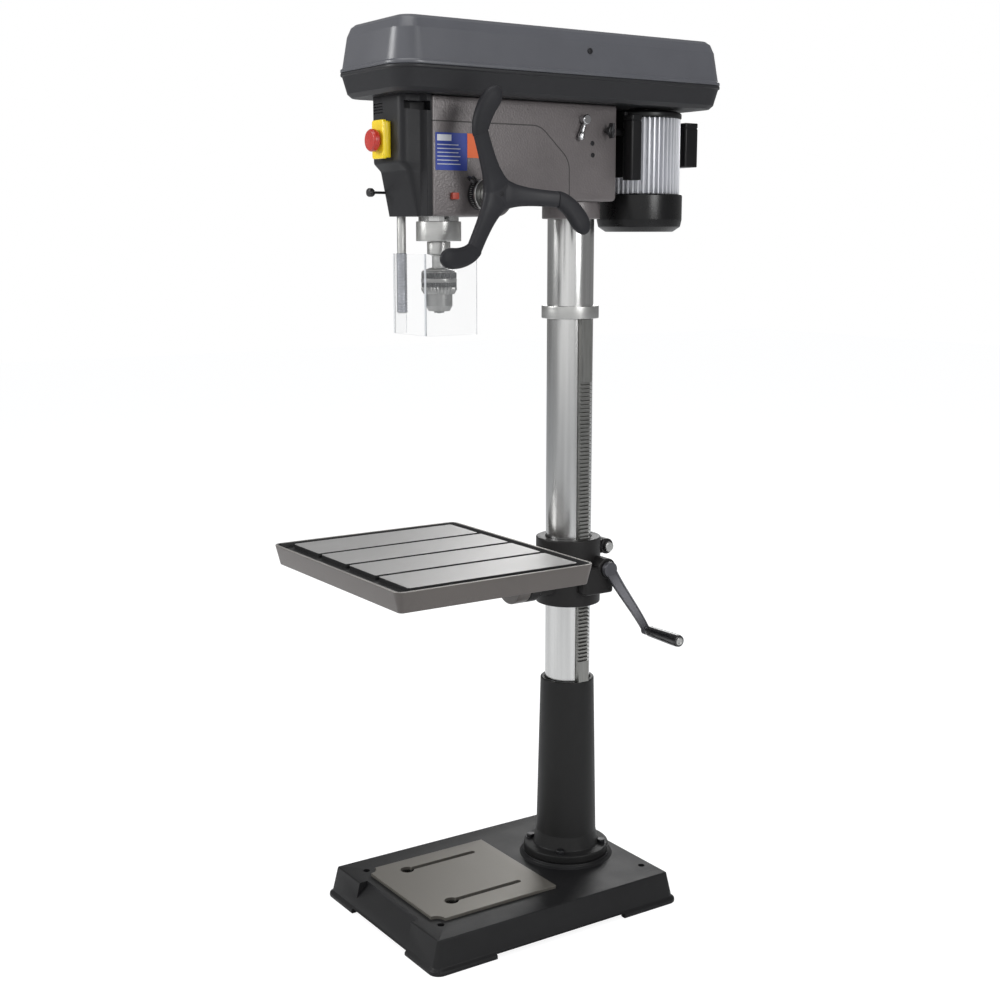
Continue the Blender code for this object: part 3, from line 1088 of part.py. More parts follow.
for hinge_y in (-COVER_FRONT * 0.55, COVER_REAR * 0.45):
    lid_side = (hinge_y - HINGE_LENGTH / 2, hinge_y - SEAT / 2)
    tray_side = (hinge_y + SEAT / 2, hinge_y + HINGE_LENGTH / 2)
    for other, span in ((tray, lid_side), (lid, tray_side)):
        cut(other, block(HINGE_X - NOTCH, HINGE_X + NOTCH, span[0] - 0.0006, span[1] + 0.0006,
                         HINGE_Z - NOTCH, HINGE_Z + NOTCH))
    join(lid, rod(HINGE_RADIUS, *lid_side, turn=TURN_Y, at=(HINGE_X, 0, HINGE_Z), sides=SMALL_FACETS))
    join(tray, rod(HINGE_RADIUS, *tray_side, turn=TURN_Y, at=(HINGE_X, 0, HINGE_Z), sides=SMALL_FACETS))
    cut(lid, rod(0.0019, lid_side[0] + 0.004, lid_side[1] + 0.01, turn=TURN_Y,
                 at=(HINGE_X, 0, HINGE_Z), sides=SMALL_FACETS))
    join(tray, rod(0.0015, lid_side[0] + 0.005, tray_side[0] + 0.006, turn=TURN_Y,
                   at=(HINGE_X, 0, HINGE_Z), sides=12))


# ---- Pulleys and belts ------------------------------------------------------------------------
def pulley_profile(radii, foot, hub):
    """A stepped pulley's turned outline, bottom to top, with one V groove in each step."""
    profile = []
    for level, radius in enumerate(radii):
        middle = foot + STEP_HEIGHT * (level + 0.5)
        low, high = middle - STEP_HEIGHT / 2, middle + STEP_HEIGHT / 2
        profile += [(radius, low), (radius - GROOVE_DEPTH, middle - GROOVE_FLOOR / 2),
                    (radius - GROOVE_DEPTH, middle + GROOVE_FLOOR / 2), (radius, high)]
    return hub + profile


def pulley(name, radii, body, y, foot, hub=()):
    return piece(name, turned(pulley_profile(radii, foot, list(hub)), at=(0, y, 0), sides=SMALL_FACETS),
                 body, CAST_ALUMINIUM, 0.35, 0.9)


LEVEL_0 = PULLEY_FOOT
LEVEL_1 = PULLEY_FOOT + STEP_HEIGHT
spindle_pulley_body = pivot("spindle_pulley_body", (0, SPINDLE_Y, LEVEL_1), press)
spindle_pulley = pulley("spindle_pulley", STEP_RADII, spindle_pulley_body, SPINDLE_Y, LEVEL_1,
                        [(PULLEY_HUB_RADIUS, QUILL_TOP + 0.002), (PULLEY_HUB_RADIUS, LEVEL_1 - 0.0001)])
cut(spindle_pulley, prism(splined(SPLINE_RADIUS + SEAT, SPLINE_DEPTH, half_share=0.28), QUILL_TOP - 0.01,
                          LID_TOP, at=(0, SPINDLE_Y, 0)))

idler_body = pivot("idler_body", (0, IDLER_Y, LEVEL_0), press)
IDLER_BORE = 0.0085
idler = pulley("idler_pulley", IDLER_RADII, idler_body, IDLER_Y, LEVEL_0)
cut(idler, rod(IDLER_BORE + RUN, LEVEL_0 - 0.01, LID_TOP, at=(0, IDLER_Y, 0)))
IDLER_TOP = LEVEL_0 + STEP_HEIGHT * len(IDLER_RADII)
arm_level = HEAD_TOP - 0.016
idler_arm = piece("idler_arm", rod(IDLER_BORE, arm_level - 0.008, IDLER_TOP + 0.002, at=(0, IDLER_Y, 0)),
                  press, GROUND_STEEL, 0.3, 1.0)
ARM_WIDTH = HEAD_HALF_WIDTH - HEAD_WALL - SEAT
join(idler_arm, block(-ARM_WIDTH, ARM_WIDTH, IDLER_Y - 0.014, min(IDLER_Y + 0.014, POCKET_REAR - SEAT),
                      arm_level - 0.008, arm_level))
cut(tray, rod(IDLER_BORE + 0.004, TRAY_FOOT - 0.01, TRAY_FLOOR + 0.01, at=(0, IDLER_Y, 0)))


def belt(name, y0, r0, y1, r1, level, foot):
    """A V belt round two pulleys on the x = 0 plane: two arcs and the straight runs between them."""
    middle = foot + STEP_HEIGHT * (level + 0.5)
    reach = y1 - y0
    lean = (r0 - r1) / reach
    tangent = sqrt(1 - lean * lean)
    start = pi / 2 - atan(lean / tangent)
    steps = 8
    stations = []
    for centre, radius, first, last in ((y1, r1, start, -start), (y0, r0, -start, -2 * pi + start)):
        for i in range(steps + 1):
            angle = first + (last - first) * i / steps
            stations.append((centre, radius, sin(angle), cos(angle)))
    rings = []
    for centre, radius, sx, cy in stations:
        outer, inner = radius, radius - BELT_DEPTH
        rings.append([(outer * sx, centre + outer * cy, middle - BELT_TOP / 2),
                      (outer * sx, centre + outer * cy, middle + BELT_TOP / 2),
                      (inner * sx, centre + inner * cy, middle + BELT_FOOT / 2),
                      (inner * sx, centre + inner * cy, middle - BELT_FOOT / 2)])
    return piece(name, skin(rings, looped=True), press, RUBBER_BLACK, 0.7)


BELT_PROUD = BELT_REACH - GROOVE_DEPTH + BELT_DEPTH + 0.0002
SLOW_LEVEL = 1
EVEN_LEVEL = 2
belt("spindle_belt", SPINDLE_Y, STEP_RADII[SLOW_LEVEL - 1] + BELT_PROUD, IDLER_Y,
     IDLER_RADII[SLOW_LEVEL] + BELT_PROUD, SLOW_LEVEL, LEVEL_0)
belt("motor_belt", IDLER_Y, IDLER_RADII[EVEN_LEVEL] + BELT_PROUD, MOTOR_Y,
     STEP_RADII[EVEN_LEVEL] + BELT_PROUD, EVEN_LEVEL, LEVEL_0)

# ---- Motor on its slide -----------------------------------------------------------------------
motor_body = pivot("motor_body", (0, MOTOR_Y, SLIDE_ROD_Z), press)
AT_MOTOR = (0, MOTOR_Y, 0)
STATOR_BORE = 0.052
fins = []
for i in range(FIN_COUNT * 4):
    radius = MOTOR_RADIUS if i % 4 in (0, 1) else MOTOR_RADIUS - FIN_DEPTH
    angle = 2 * pi * (i - 0.5) / (FIN_COUNT * 4)
    fins.append((radius * cos(angle), radius * sin(angle)))
frame = piece("motor_frame", prism(fins, BODY_FOOT, BODY_TOP, at=AT_MOTOR), motor_body,
              CAST_ALUMINIUM, 0.35, 0.9)
cut(frame, rod(STATOR_BORE, BODY_FOOT + 0.012, BODY_TOP + 0.01, at=AT_MOTOR, sides=32))
cut(frame, rod(MOTOR_SHAFT_RADIUS + RUN, BODY_FOOT - 0.01, BODY_FOOT + 0.02, at=AT_MOTOR, sides=SMALL_FACETS))
PLATE_FRONT = HEAD_REAR + MOTOR_SLIDE + 0.007
PLATE_REAR = PLATE_FRONT + 0.008
PLATE_HALF = HEAD_HALF_WIDTH - 0.004
FOOT_HALF = 0.030
join(frame, block(-FOOT_HALF, FOOT_HALF, PLATE_REAR + SEAT, MOTOR_Y - MOTOR_RADIUS + 0.014, BODY_FOOT + 0.03,
                  BODY_TOP - 0.012))
TERMINAL_X = HEAD_HALF_WIDTH + 0.0015
TERMINAL_REAR = PLATE_REAR + 0.009
join(frame, block(TERMINAL_X - 0.020, TERMINAL_X + 0.008, TERMINAL_REAR + SEAT, MOTOR_Y - 0.030,
                  BODY_TOP - 0.100, BODY_TOP - 0.030))
piece("motor_end_bell", turned([
    (MOTOR_SHAFT_RADIUS + RUN, BODY_TOP + SEAT),
    (MOTOR_RADIUS + 0.002, BODY_TOP + SEAT),
    (MOTOR_RADIUS + 0.002, MOTOR_TOP - 0.005),
    (MOTOR_RADIUS - 0.006, MOTOR_TOP),
    (MOTOR_SHAFT_RADIUS + RUN, MOTOR_TOP),
], at=AT_MOTOR, hollow=True), motor_body, SATIN_BLACK, 0.4)
FAN_TOP = BODY_FOOT - SEAT
FAN_FOOT = FAN_TOP - FAN_COVER_HEIGHT
fan_cover = piece("fan_cover", turned([
    (FAN_COVER_RADIUS - 0.022, FAN_FOOT + 0.003),
    (FAN_COVER_RADIUS - 0.006, FAN_FOOT + 0.013),
    (FAN_COVER_RADIUS - 0.003, FAN_FOOT + 0.024),
    (FAN_COVER_RADIUS - 0.003, FAN_TOP - 0.004),
    (FAN_COVER_RADIUS - 0.010, FAN_TOP - 0.004),
    (FAN_COVER_RADIUS - 0.010, FAN_TOP),
    (FAN_COVER_RADIUS, FAN_TOP),
    (FAN_COVER_RADIUS, FAN_FOOT + 0.024),
    (FAN_COVER_RADIUS - 0.003, FAN_FOOT + 0.011),
    (FAN_COVER_RADIUS - 0.020, FAN_FOOT),
], at=AT_MOTOR), motor_body, SATIN_BLACK, 0.35)
cut(fan_cover, together(*[block(-0.040 + 0.016 * i, -0.034 + 0.016 * i, MOTOR_Y - 0.030, MOTOR_Y + 0.030,
                                FAN_FOOT - 0.01, FAN_FOOT + 0.008) for i in range(6)]))
piece("terminal_box", prism(rounded(TERMINAL_X, TERMINAL_X + 0.0285, TERMINAL_REAR - 0.026, TERMINAL_REAR,
                                    0.003), BODY_TOP - 0.123, BODY_TOP), motor_body, SATIN_BLACK, 0.4)
CAPACITOR_FRONT = MOTOR_Y + MOTOR_RADIUS + SEAT
piece("capacitor_box", prism(rounded(-0.030, 0.045, CAPACITOR_FRONT, CAPACITOR_FRONT + 0.034, 0.005),
                             BODY_TOP - 0.092, BODY_TOP - 0.005), motor_body, SATIN_BLACK, 0.4)
mount = piece("motor_mount", block(-PLATE_HALF, PLATE_HALF, PLATE_FRONT, PLATE_REAR, BODY_FOOT + 0.03,
                                   HEAD_TOP - 0.010), motor_body, SATIN_BLACK, 0.45)
for side in (-1, 1):
    join(mount, rod(SLIDE_ROD_RADIUS, ROD_FRONT_END, PLATE_FRONT + 0.003, turn=TURN_Y,
                    at=(side * SLIDE_ROD_X, 0, SLIDE_ROD_Z)))

rotor_body = pivot("rotor_body", (0, MOTOR_Y, BODY_FOOT), motor_body)
FAN_LEVEL = BODY_FOOT - 0.030
MOTOR_PULLEY_TOP = LEVEL_0 + STEP_HEIGHT * len(STEP_RADII)
piece("rotor_shaft", turned([
    (MOTOR_SHAFT_RADIUS, FAN_LEVEL - 0.012),
    (MOTOR_SHAFT_RADIUS, BODY_FOOT + 0.022),
    (0.040, BODY_FOOT + 0.022),
    (0.040, BODY_TOP - 0.014),
    (MOTOR_SHAFT_RADIUS, BODY_TOP - 0.014),
    (MOTOR_SHAFT_RADIUS, MOTOR_PULLEY_TOP + 0.004),
], at=AT_MOTOR, sides=SMALL_FACETS), rotor_body, GROUND_STEEL, 0.3, 1.0)
motor_pulley = pulley("motor_pulley", STEP_RADII, rotor_body, MOTOR_Y, LEVEL_0)
cut(motor_pulley, rod(MOTOR_SHAFT_RADIUS + SEAT, LEVEL_0 - 0.01, LID_TOP, at=AT_MOTOR))
fan = piece("cooling_fan", turned([
    (MOTOR_SHAFT_RADIUS + SEAT, FAN_LEVEL - 0.010), (0.020, FAN_LEVEL - 0.010),
    (0.020, FAN_LEVEL + 0.010), (MOTOR_SHAFT_RADIUS + SEAT, FAN_LEVEL + 0.010),
], at=AT_MOTOR, sides=SMALL_FACETS, hollow=True), rotor_body, RUBBER_BLACK, 0.5)
for i in range(6):
    blade = block(0.018, 0.066, -0.0012, 0.0012, FAN_LEVEL - 0.009, FAN_LEVEL + 0.009)
    join(fan, placed(blade, Matrix.Rotation(2 * pi * (i + 0.5) / 6, 4, "Z"), AT_MOTOR))

# ---- Belt tension lever and slide lock knob ---------------------------------------------------
lever_body = pivot("lever_body", (HEAD_HALF_WIDTH, LEVER_Y, LEVER_Z), press)
lever = piece("tension_lever", turned([
    (LEVER_SHAFT_RADIUS, LEVER_SHAFT_END),
    (LEVER_SHAFT_RADIUS, HEAD_HALF_WIDTH + SEAT),
    (0.0095, HEAD_HALF_WIDTH + SEAT),
    (0.0095, HEAD_HALF_WIDTH + 0.012),
    (0.0080, HEAD_HALF_WIDTH + 0.014),
], turn=TURN_X, at=(0, LEVER_Y, LEVER_Z), sides=SMALL_FACETS), lever_body, BRIGHT_STEEL, 0.12, 1.0)
LEVER_LEAN = Matrix.Rotation(radians(-198), 4, "X")
join(lever, turned([(0.0040, 0.006), (0.0045, 0.024), (0.0065, 0.030), (0.0065, 0.036), (0.0040, 0.040)],
                   turn=LEVER_LEAN, at=(HEAD_HALF_WIDTH + 0.007, LEVER_Y, LEVER_Z), sides=12))
lock_body = pivot("motor_lock_body", (HEAD_HALF_WIDTH, LOCK_Y, SLIDE_ROD_Z), press)
lock_round, lock_wings = wing_knob(LOCK_STEM_RADIUS, SLIDE_ROD_X + SLIDE_ROD_RADIUS + SEAT,
                                   HEAD_HALF_WIDTH + 0.006, 0.008, 0.013, 0.030, TURN_X,
                                   (0, LOCK_Y, SLIDE_ROD_Z))
lock_knob = piece("motor_lock_knob", lock_round, lock_body, RUBBER_BLACK, 0.5)
join(lock_knob, lock_wings)

# ---- Lift rack --------------------------------------------------------------------------------
rack_body = pivot("rack_body", (0, 0, SLEEVE_TOP), press)
RACK_FOOT = SLEEVE_TOP + SEAT
RACK_TOP = RING_FOOT - SEAT
TOOTH_DEPTH = 2 * RACK_MODULE + 0.0004


def rack_profile():
    """The rack's (x, z) outline: a flat back, and straight-sided teeth between two plain ends."""
    first = GEAR_Z - RACK_PITCH * int((GEAR_Z - RACK_FOOT - RACK_PLAIN_FOOT) / RACK_PITCH)
    count = int((RACK_TOP - RACK_PLAIN_TOP - first) / RACK_PITCH)
    points = [(RACK_BACK, RACK_TOP), (RACK_BACK, RACK_FOOT), (RACK_FACE, RACK_FOOT)]
    root = RACK_FACE - TOOTH_DEPTH
    for i in range(count):
        middle = first + RACK_PITCH * (i + 0.5)      # the middle of a gap
        points += [(RACK_FACE, middle - 0.34 * RACK_PITCH), (root, middle - 0.17 * RACK_PITCH),
                   (root, middle + 0.17 * RACK_PITCH), (RACK_FACE, middle + 0.34 * RACK_PITCH)]
    return points + [(RACK_FACE, RACK_TOP)]


profile = rack_profile()
piece("lift_rack", skin([[(x, y, z) for x, z in profile] for y in (-RACK_WIDTH / 2, RACK_WIDTH / 2)]),
      rack_body, GROUND_STEEL, 0.35, 1.0)

CRANK_AT = (0, CRANK_BEHIND, CRANK_Z)

# ---- Table bracket ----------------------------------------------------------------------------
bracket_body = pivot("bracket_body", (0, 0, GEAR_Z), rack_body)
BRACKET_BORE = COLUMN_RADIUS + SEAT + 0.0002
WHEEL_END = CRANK_BEHIND + GEAR_HALF_WIDTH
HOUSING_FRONT = -GEAR_HALF_WIDTH - 0.013
HOUSING_REAR = WHEEL_END + 0.009
bracket = piece("table_bracket", turned([
    (BRACKET_RADIUS - 0.002, BRACKET_FOOT),
    (BRACKET_RADIUS, BRACKET_FOOT + 0.002),
    (BRACKET_RADIUS, BRACKET_TOP - 0.002),
    (BRACKET_RADIUS - 0.002, BRACKET_TOP),
]), bracket_body, SATIN_BLACK, 0.42, 0.1)
join(bracket,
     block(0.030, HOUSING_END, HOUSING_FRONT, HOUSING_REAR, GEAR_Z - 0.026, CRANK_Z + 0.004))
WORM_BOSS = WORM_RADIUS + 0.0085
BOSS_END = HOUSING_END + 0.001
join(bracket, rod(WORM_BOSS, 0.040, BOSS_END, turn=TURN_X, at=(0, CRANK_BEHIND, CRANK_Z), sides=FACETS))
ARM_HALF = 0.034
TRUNNION_FACE = TABLE_REAR + SEAT
TRUNNION_BACK = TABLE_REAR + 0.026
join(bracket,
     block(-ARM_HALF, ARM_HALF, TRUNNION_FACE + 0.006, -COLUMN_RADIUS, TILT_Z - 0.030, TILT_Z + 0.030),
     rod(TRUNNION_RADIUS, TRUNNION_FACE, TRUNNION_BACK, turn=TURN_Y, at=(0, 0, TILT_Z), sides=FACETS))
EAR_Z = TABLE_HEIGHT - EAR_BELOW_TABLE
join(bracket,
     block(-EAR_OUT + 0.004, EAR_OUT - 0.004, COLUMN_RADIUS, EAR_BEHIND, EAR_Z - EAR_RADIUS + 0.002,
           EAR_Z + EAR_RADIUS - 0.002),
     rod(EAR_RADIUS, -EAR_OUT, EAR_OUT, turn=TURN_X, at=(0, EAR_BEHIND, EAR_Z)))
cut(bracket, rod(BRACKET_BORE, BRACKET_FOOT - 0.01, BRACKET_TOP + 0.01, sides=FACETS))
RACK_CHANNEL = RACK_FACE + RUN
cut(bracket, block(0.020, RACK_CHANNEL, -RACK_WIDTH / 2 - RUN, RACK_WIDTH / 2 + RUN,
                   BRACKET_FOOT - 0.01, BRACKET_TOP + 0.01))
cut(bracket, block(-EAR_SLIT / 2, EAR_SLIT / 2, 0.020, EAR_BEHIND + 0.05, BRACKET_FOOT - 0.01,
                   BRACKET_TOP + 0.01))
GEAR_TIP = GEAR_PITCH_RADIUS + RACK_MODULE
cut(bracket, block(GEAR_X - GEAR_TIP - 0.0006, GEAR_X + GEAR_TIP + 0.0006, -GEAR_HALF_WIDTH - RUN,
                   WHEEL_END + RUN, GEAR_Z - GEAR_TIP - 0.001, GEAR_Z + GEAR_TIP + 0.001))
GEAR_PIN_RADIUS = 0.005
cut(bracket, rod(GEAR_PIN_RADIUS + RUN, HOUSING_FRONT - 0.01, HOUSING_REAR + 0.01, turn=TURN_Y,
                 at=(GEAR_X, 0, GEAR_Z), sides=SMALL_FACETS))
WORM_LENGTH = WORM_TURNS * RACK_PITCH
WORM_START = GEAR_X - WORM_LENGTH / 2
WORM_END = GEAR_X + WORM_LENGTH / 2
WORM_TAIL = WORM_START - 0.006
cut(bracket, rod(WORM_RADIUS + 0.0008, WORM_START - 0.001, WORM_END + 0.001, turn=TURN_X, at=CRANK_AT))
cut(bracket, rod(WORM_CORE_RADIUS + RUN, WORM_TAIL - 0.001, WORM_START + 0.01, turn=TURN_X, at=CRANK_AT))
cut(bracket, rod(CRANK_SHAFT_RADIUS + RUN, WORM_END - 0.002, BOSS_END + 0.01, turn=TURN_X, at=CRANK_AT))
cut(bracket, rod(TILT_BOLT_RADIUS + SEAT, TABLE_REAR - 0.01, TRUNNION_BACK + 0.01, turn=TURN_Y,
                 at=(0, 0, TILT_Z)))
BOLT_HEAD_RADIUS = 0.014
BOLT_HEAD_Y = TRUNNION_BACK - 0.008
cut(bracket, block(-BOLT_HEAD_RADIUS - 0.003, BOLT_HEAD_RADIUS + 0.003, BOLT_HEAD_Y, BOLT_HEAD_Y + 0.020,
                   TILT_Z - 0.06, TILT_Z + BOLT_HEAD_RADIUS + 0.003))
CLAMP_HOLE = 0.0053
cut(bracket, rod(CLAMP_HOLE, -EAR_OUT - 0.01, EAR_OUT + 0.01, turn=TURN_X, at=(0, EAR_BEHIND, EAR_Z),
                 sides=SMALL_FACETS))

# ---- Lift gear on its pin ---------------------------------------------------------------------
gear_body = pivot("lift_gear_body", (GEAR_X, 0, GEAR_Z), bracket_body)
# Laid along Y, an outline's own X stays X and its Y becomes -Z. A pinion runs in the rack, and a worm
# wheel of the same teeth sits behind it, on the same shaft, under the worm.
lift_gear = piece("lift_gear", rod(GEAR_PIN_RADIUS, HOUSING_FRONT, HOUSING_REAR, turn=TURN_Y,
                                   at=(GEAR_X, 0, GEAR_Z)), gear_body, BRIGHT_STEEL, 0.3, 1.0)
gear_teeth = gear_outline(RACK_MODULE, GEAR_TEETH, 0.0004, 0.36, pi / GEAR_TEETH)
join(lift_gear, together(*[
    prism(gear_teeth, middle - GEAR_HALF_WIDTH, middle + GEAR_HALF_WIDTH, turn=TURN_Y, at=(GEAR_X, 0, GEAR_Z))
    for middle in (0, CRANK_BEHIND)]))

# ---- Worm shaft, crank and grip ---------------------------------------------------------------
crank_body = pivot("crank_body", (GEAR_X, CRANK_BEHIND, CRANK_Z), bracket_body)
HUB_START = BOSS_END + 0.0012
SHAFT_END = CRANK_FACE - 0.005
WORM_SIDES = 12
ROWS_PER_TURN = 8
WORM_ROWS = int(WORM_TURNS * ROWS_PER_TURN / 2)
CREST_SHARE = 0.11        # half a thread's crest, as a share of the pitch
FOOT_SHARE = 0.28         # half its foot
PLAIN_ROWS = 2            # rows at each end with no thread


def worm_radius(row, side):
    """The thread's height at one place: it goes once round for each pitch, and a crest lies below the shaft."""
    phase = row / ROWS_PER_TURN - (side / WORM_SIDES + 0.25)
    away = abs(phase - round(phase))
    rise = (FOOT_SHARE - away) / (FOOT_SHARE - CREST_SHARE)
    if abs(row) > WORM_ROWS - PLAIN_ROWS:
        rise = 0.0
    return WORM_CORE_RADIUS + (WORM_RADIUS - WORM_CORE_RADIUS) * min(1.0, max(0.0, rise))


def worm_ring(x, radii):
    angles = [2 * pi * side / WORM_SIDES for side in range(WORM_SIDES)]
    return [(x, CRANK_BEHIND + r * cos(a), CRANK_Z + r * sin(a)) for r, a in zip(radii, angles)]


worm_rings = [worm_ring(WORM_TAIL, [WORM_CORE_RADIUS] * WORM_SIDES)]
worm_rings += [worm_ring(GEAR_X + RACK_PITCH * row / ROWS_PER_TURN,
                         [worm_radius(row, side) for side in range(WORM_SIDES)])
               for row in range(-WORM_ROWS, WORM_ROWS + 1)]
worm_rings += [worm_ring(x, [CRANK_SHAFT_RADIUS] * WORM_SIDES) for x in (WORM_END + 0.001, SHAFT_END)]
piece("worm_shaft", skin(worm_rings), crank_body, BRIGHT_STEEL, 0.3, 1.0)

HUB_RADIUS = 0.0155
crank_arm = piece("crank_arm", turned([
    (HUB_RADIUS, HUB_START),
    (HUB_RADIUS, CRANK_FACE - 0.002),
    (HUB_RADIUS - 0.002, CRANK_FACE),
], turn=TURN_X, at=CRANK_AT, sides=FACETS), crank_body, CAST_ALUMINIUM, 0.35, 0.9)
ARM_THICKNESS = 0.010
AT_GRIP = (0, GRIP_Y, GRIP_Z)
EYE_RADIUS = 0.0095
EYE_FACE = CRANK_FACE + CRANK_LEAN


def arm_ring(share, width):
    """The arm's section at a share of its length; it leans out on its way to the grip."""
    face = CRANK_FACE - 0.001 + CRANK_LEAN * share
    reach = CRANK_RADIUS * share
    return [(face - ARM_THICKNESS, reach, -width / 2), (face, reach, -width / 2 + 0.002),
            (face, reach, width / 2 - 0.002), (face - ARM_THICKNESS, reach, width / 2)]


arm = skin([arm_ring(0.0, 0.024), arm_ring(0.2, 0.022), arm_ring(0.9, 0.016), arm_ring(1.0, 0.015)])
join(crank_arm, placed(arm, Matrix.Rotation(CRANK_DROP_ANGLE, 4, "X"), CRANK_AT))
join(crank_arm, rod(EYE_RADIUS, EYE_FACE - ARM_THICKNESS - 0.001, EYE_FACE + 0.001, turn=TURN_X, at=AT_GRIP))
GRIP_PIN_RADIUS = 0.004
join(crank_arm, rod(GRIP_PIN_RADIUS, EYE_FACE - 0.004, GRIP_END - 0.003, turn=TURN_X, at=AT_GRIP))
cut(crank_arm, rod(CRANK_SHAFT_RADIUS + SEAT, HUB_START - 0.01, SHAFT_END + SEAT, turn=TURN_X, at=CRANK_AT))

grip_body = pivot("grip_body", (GRIP_FOOT, GRIP_Y, GRIP_Z), crank_body)
piece("crank_grip", turned([
    (GRIP_PIN_RADIUS + RUN, GRIP_FOOT),
    (GRIP_RADIUS - 0.003, GRIP_FOOT),
    (GRIP_RADIUS - 0.0015, GRIP_FOOT + 0.004),
    (GRIP_RADIUS, GRIP_END - 0.008),
    (GRIP_RADIUS, GRIP_END - 0.002),
    (GRIP_RADIUS - 0.002, GRIP_END),
    (GRIP_PIN_RADIUS + RUN, GRIP_END),
], turn=TURN_X, at=AT_GRIP, sides=SMALL_FACETS, hollow=True), grip_body, RUBBER_BLACK, 0.35)

# ---- Bracket clamp lever ----------------------------------------------------------------------
clamp_body = pivot("clamp_body", (-EAR_OUT, EAR_BEHIND, EAR_Z), bracket_body)
CLAMP_AT = (0, EAR_BEHIND, EAR_Z)
clamp = piece("clamp_lever", turned([
    (0.0110, -EAR_OUT - 0.020),
    (0.0110, -EAR_OUT - SEAT),
    (CLAMP_HOLE - 0.0005, -EAR_OUT - SEAT),
    (CLAMP_HOLE - 0.0005, EAR_OUT + SEAT),
    (0.0100, EAR_OUT + SEAT),
    (0.0100, EAR_OUT + 0.008),
    (0.0085, EAR_OUT + 0.009),
], turn=TURN_X, at=CLAMP_AT, sides=SMALL_FACETS), clamp_body, BRIGHT_STEEL, 0.25, 1.0)
join(clamp, turned([(0.0050, 0.004), (0.0045, 0.070), (0.0095, 0.078), (0.0110, 0.088), (0.0090, 0.097),
                    (0.0040, 0.101)], turn=Matrix.Rotation(radians(-150), 4, "X"),
                   at=(-EAR_OUT - 0.012, EAR_BEHIND, EAR_Z), sides=12))


# ---- Table ------------------------------------------------------------------------------------
def table_outline(inset, corner=TABLE_CORNER):
    half = TABLE_WIDTH / 2 - inset
    return rounded(-half, half, TABLE_FRONT + inset, TABLE_REAR - inset, max(corner - inset, 0.002))


table_body = pivot("table_body", (0, TABLE_REAR, TILT_Z), bracket_body)
table = piece("table_casting", stacked([
    (TABLE_HEIGHT - TABLE_RIM_HEIGHT, table_outline(TABLE_DRAFT)),
    (TABLE_HEIGHT - 0.002, table_outline(0.0)),
    (TABLE_HEIGHT, table_outline(0.001)),
]), table_body, WARM_GREY, 0.4, 0.3)
cut(table, stacked([
    (TABLE_HEIGHT - TABLE_RIM_HEIGHT - 0.01, table_outline(TABLE_DRAFT + TABLE_WALL)),
    (TABLE_HEIGHT - TABLE_PLATE, table_outline(TABLE_WALL + 0.004)),
]))
STRIP_HALF = TABLE_WIDTH / 2 - RIM_WIDTH - TROUGH_WIDTH
STRIP_FRONT = TABLE_FRONT + RIM_WIDTH + TROUGH_FRONT
STRIP_REAR = TABLE_REAR - RIM_WIDTH - TROUGH_WIDTH
trough_outer = table_outline(RIM_WIDTH)
trough_inner = rounded(-STRIP_HALF, STRIP_HALF, STRIP_FRONT, STRIP_REAR, 0.003)
trough_low, trough_high = TABLE_HEIGHT - TROUGH_DEPTH, TABLE_HEIGHT + 0.01
cut(table, skin([[(x, y, z) for x, y in outline] for outline, z in (
    (trough_outer, trough_low), (trough_outer, trough_high),
    (trough_inner, trough_high), (trough_inner, trough_low))], looped=True))
SLOT_PITCH = 2 * STRIP_HALF / (TABLE_SLOTS + 1)
cut(table, together(*[
    block(-STRIP_HALF + SLOT_PITCH * (i + 1) - TABLE_SLOT_WIDTH / 2,
          -STRIP_HALF + SLOT_PITCH * (i + 1) + TABLE_SLOT_WIDTH / 2,
          STRIP_FRONT - 0.004, STRIP_REAR + 0.004, TABLE_HEIGHT - TABLE_SLOT_DEPTH, TABLE_HEIGHT + 0.01)
    for i in range(TABLE_SLOTS)]))
BLOCK_FRONT = TABLE_REAR - TRUNNION_THICKNESS
join(table,
     rod(TRUNNION_RADIUS, BLOCK_FRONT, TABLE_REAR, turn=TURN_Y, at=(0, 0, TILT_Z), sides=FACETS))
join(table, block(-0.030, 0.030, BLOCK_FRONT + 0.001, TABLE_REAR - 0.001, TILT_Z + 0.020,
                  TABLE_HEIGHT - TABLE_PLATE + 0.003))
join(table, side_prism([
    (BLOCK_FRONT + 0.004, TILT_Z - 0.025),
    (BLOCK_FRONT + 0.004, TABLE_HEIGHT - TABLE_PLATE + 0.002),
    (TABLE_FRONT + 0.060, TABLE_HEIGHT - TABLE_PLATE + 0.002),
    (TABLE_FRONT + 0.060, TABLE_HEIGHT - TABLE_PLATE - 0.012),
], -0.007, 0.007))
cut(table, rod(TILT_BOLT_RADIUS + RUN, BLOCK_FRONT - 0.01, TABLE_REAR + 0.01, turn=TURN_Y,
               at=(0, 0, TILT_Z)))
tilt_bolt = piece("tilt_bolt", rod(TILT_BOLT_RADIUS, BLOCK_FRONT + 0.012, BOLT_HEAD_Y + 0.002, turn=TURN_Y,
                                   at=(0, 0, TILT_Z)), bracket_body, BRIGHT_STEEL, 0.3, 1.0)
join(tilt_bolt, prism(circle(BOLT_HEAD_RADIUS, 6), BOLT_HEAD_Y + SEAT, BOLT_HEAD_Y + 0.010, turn=TURN_Y,
                      at=(0, 0, TILT_Z)))
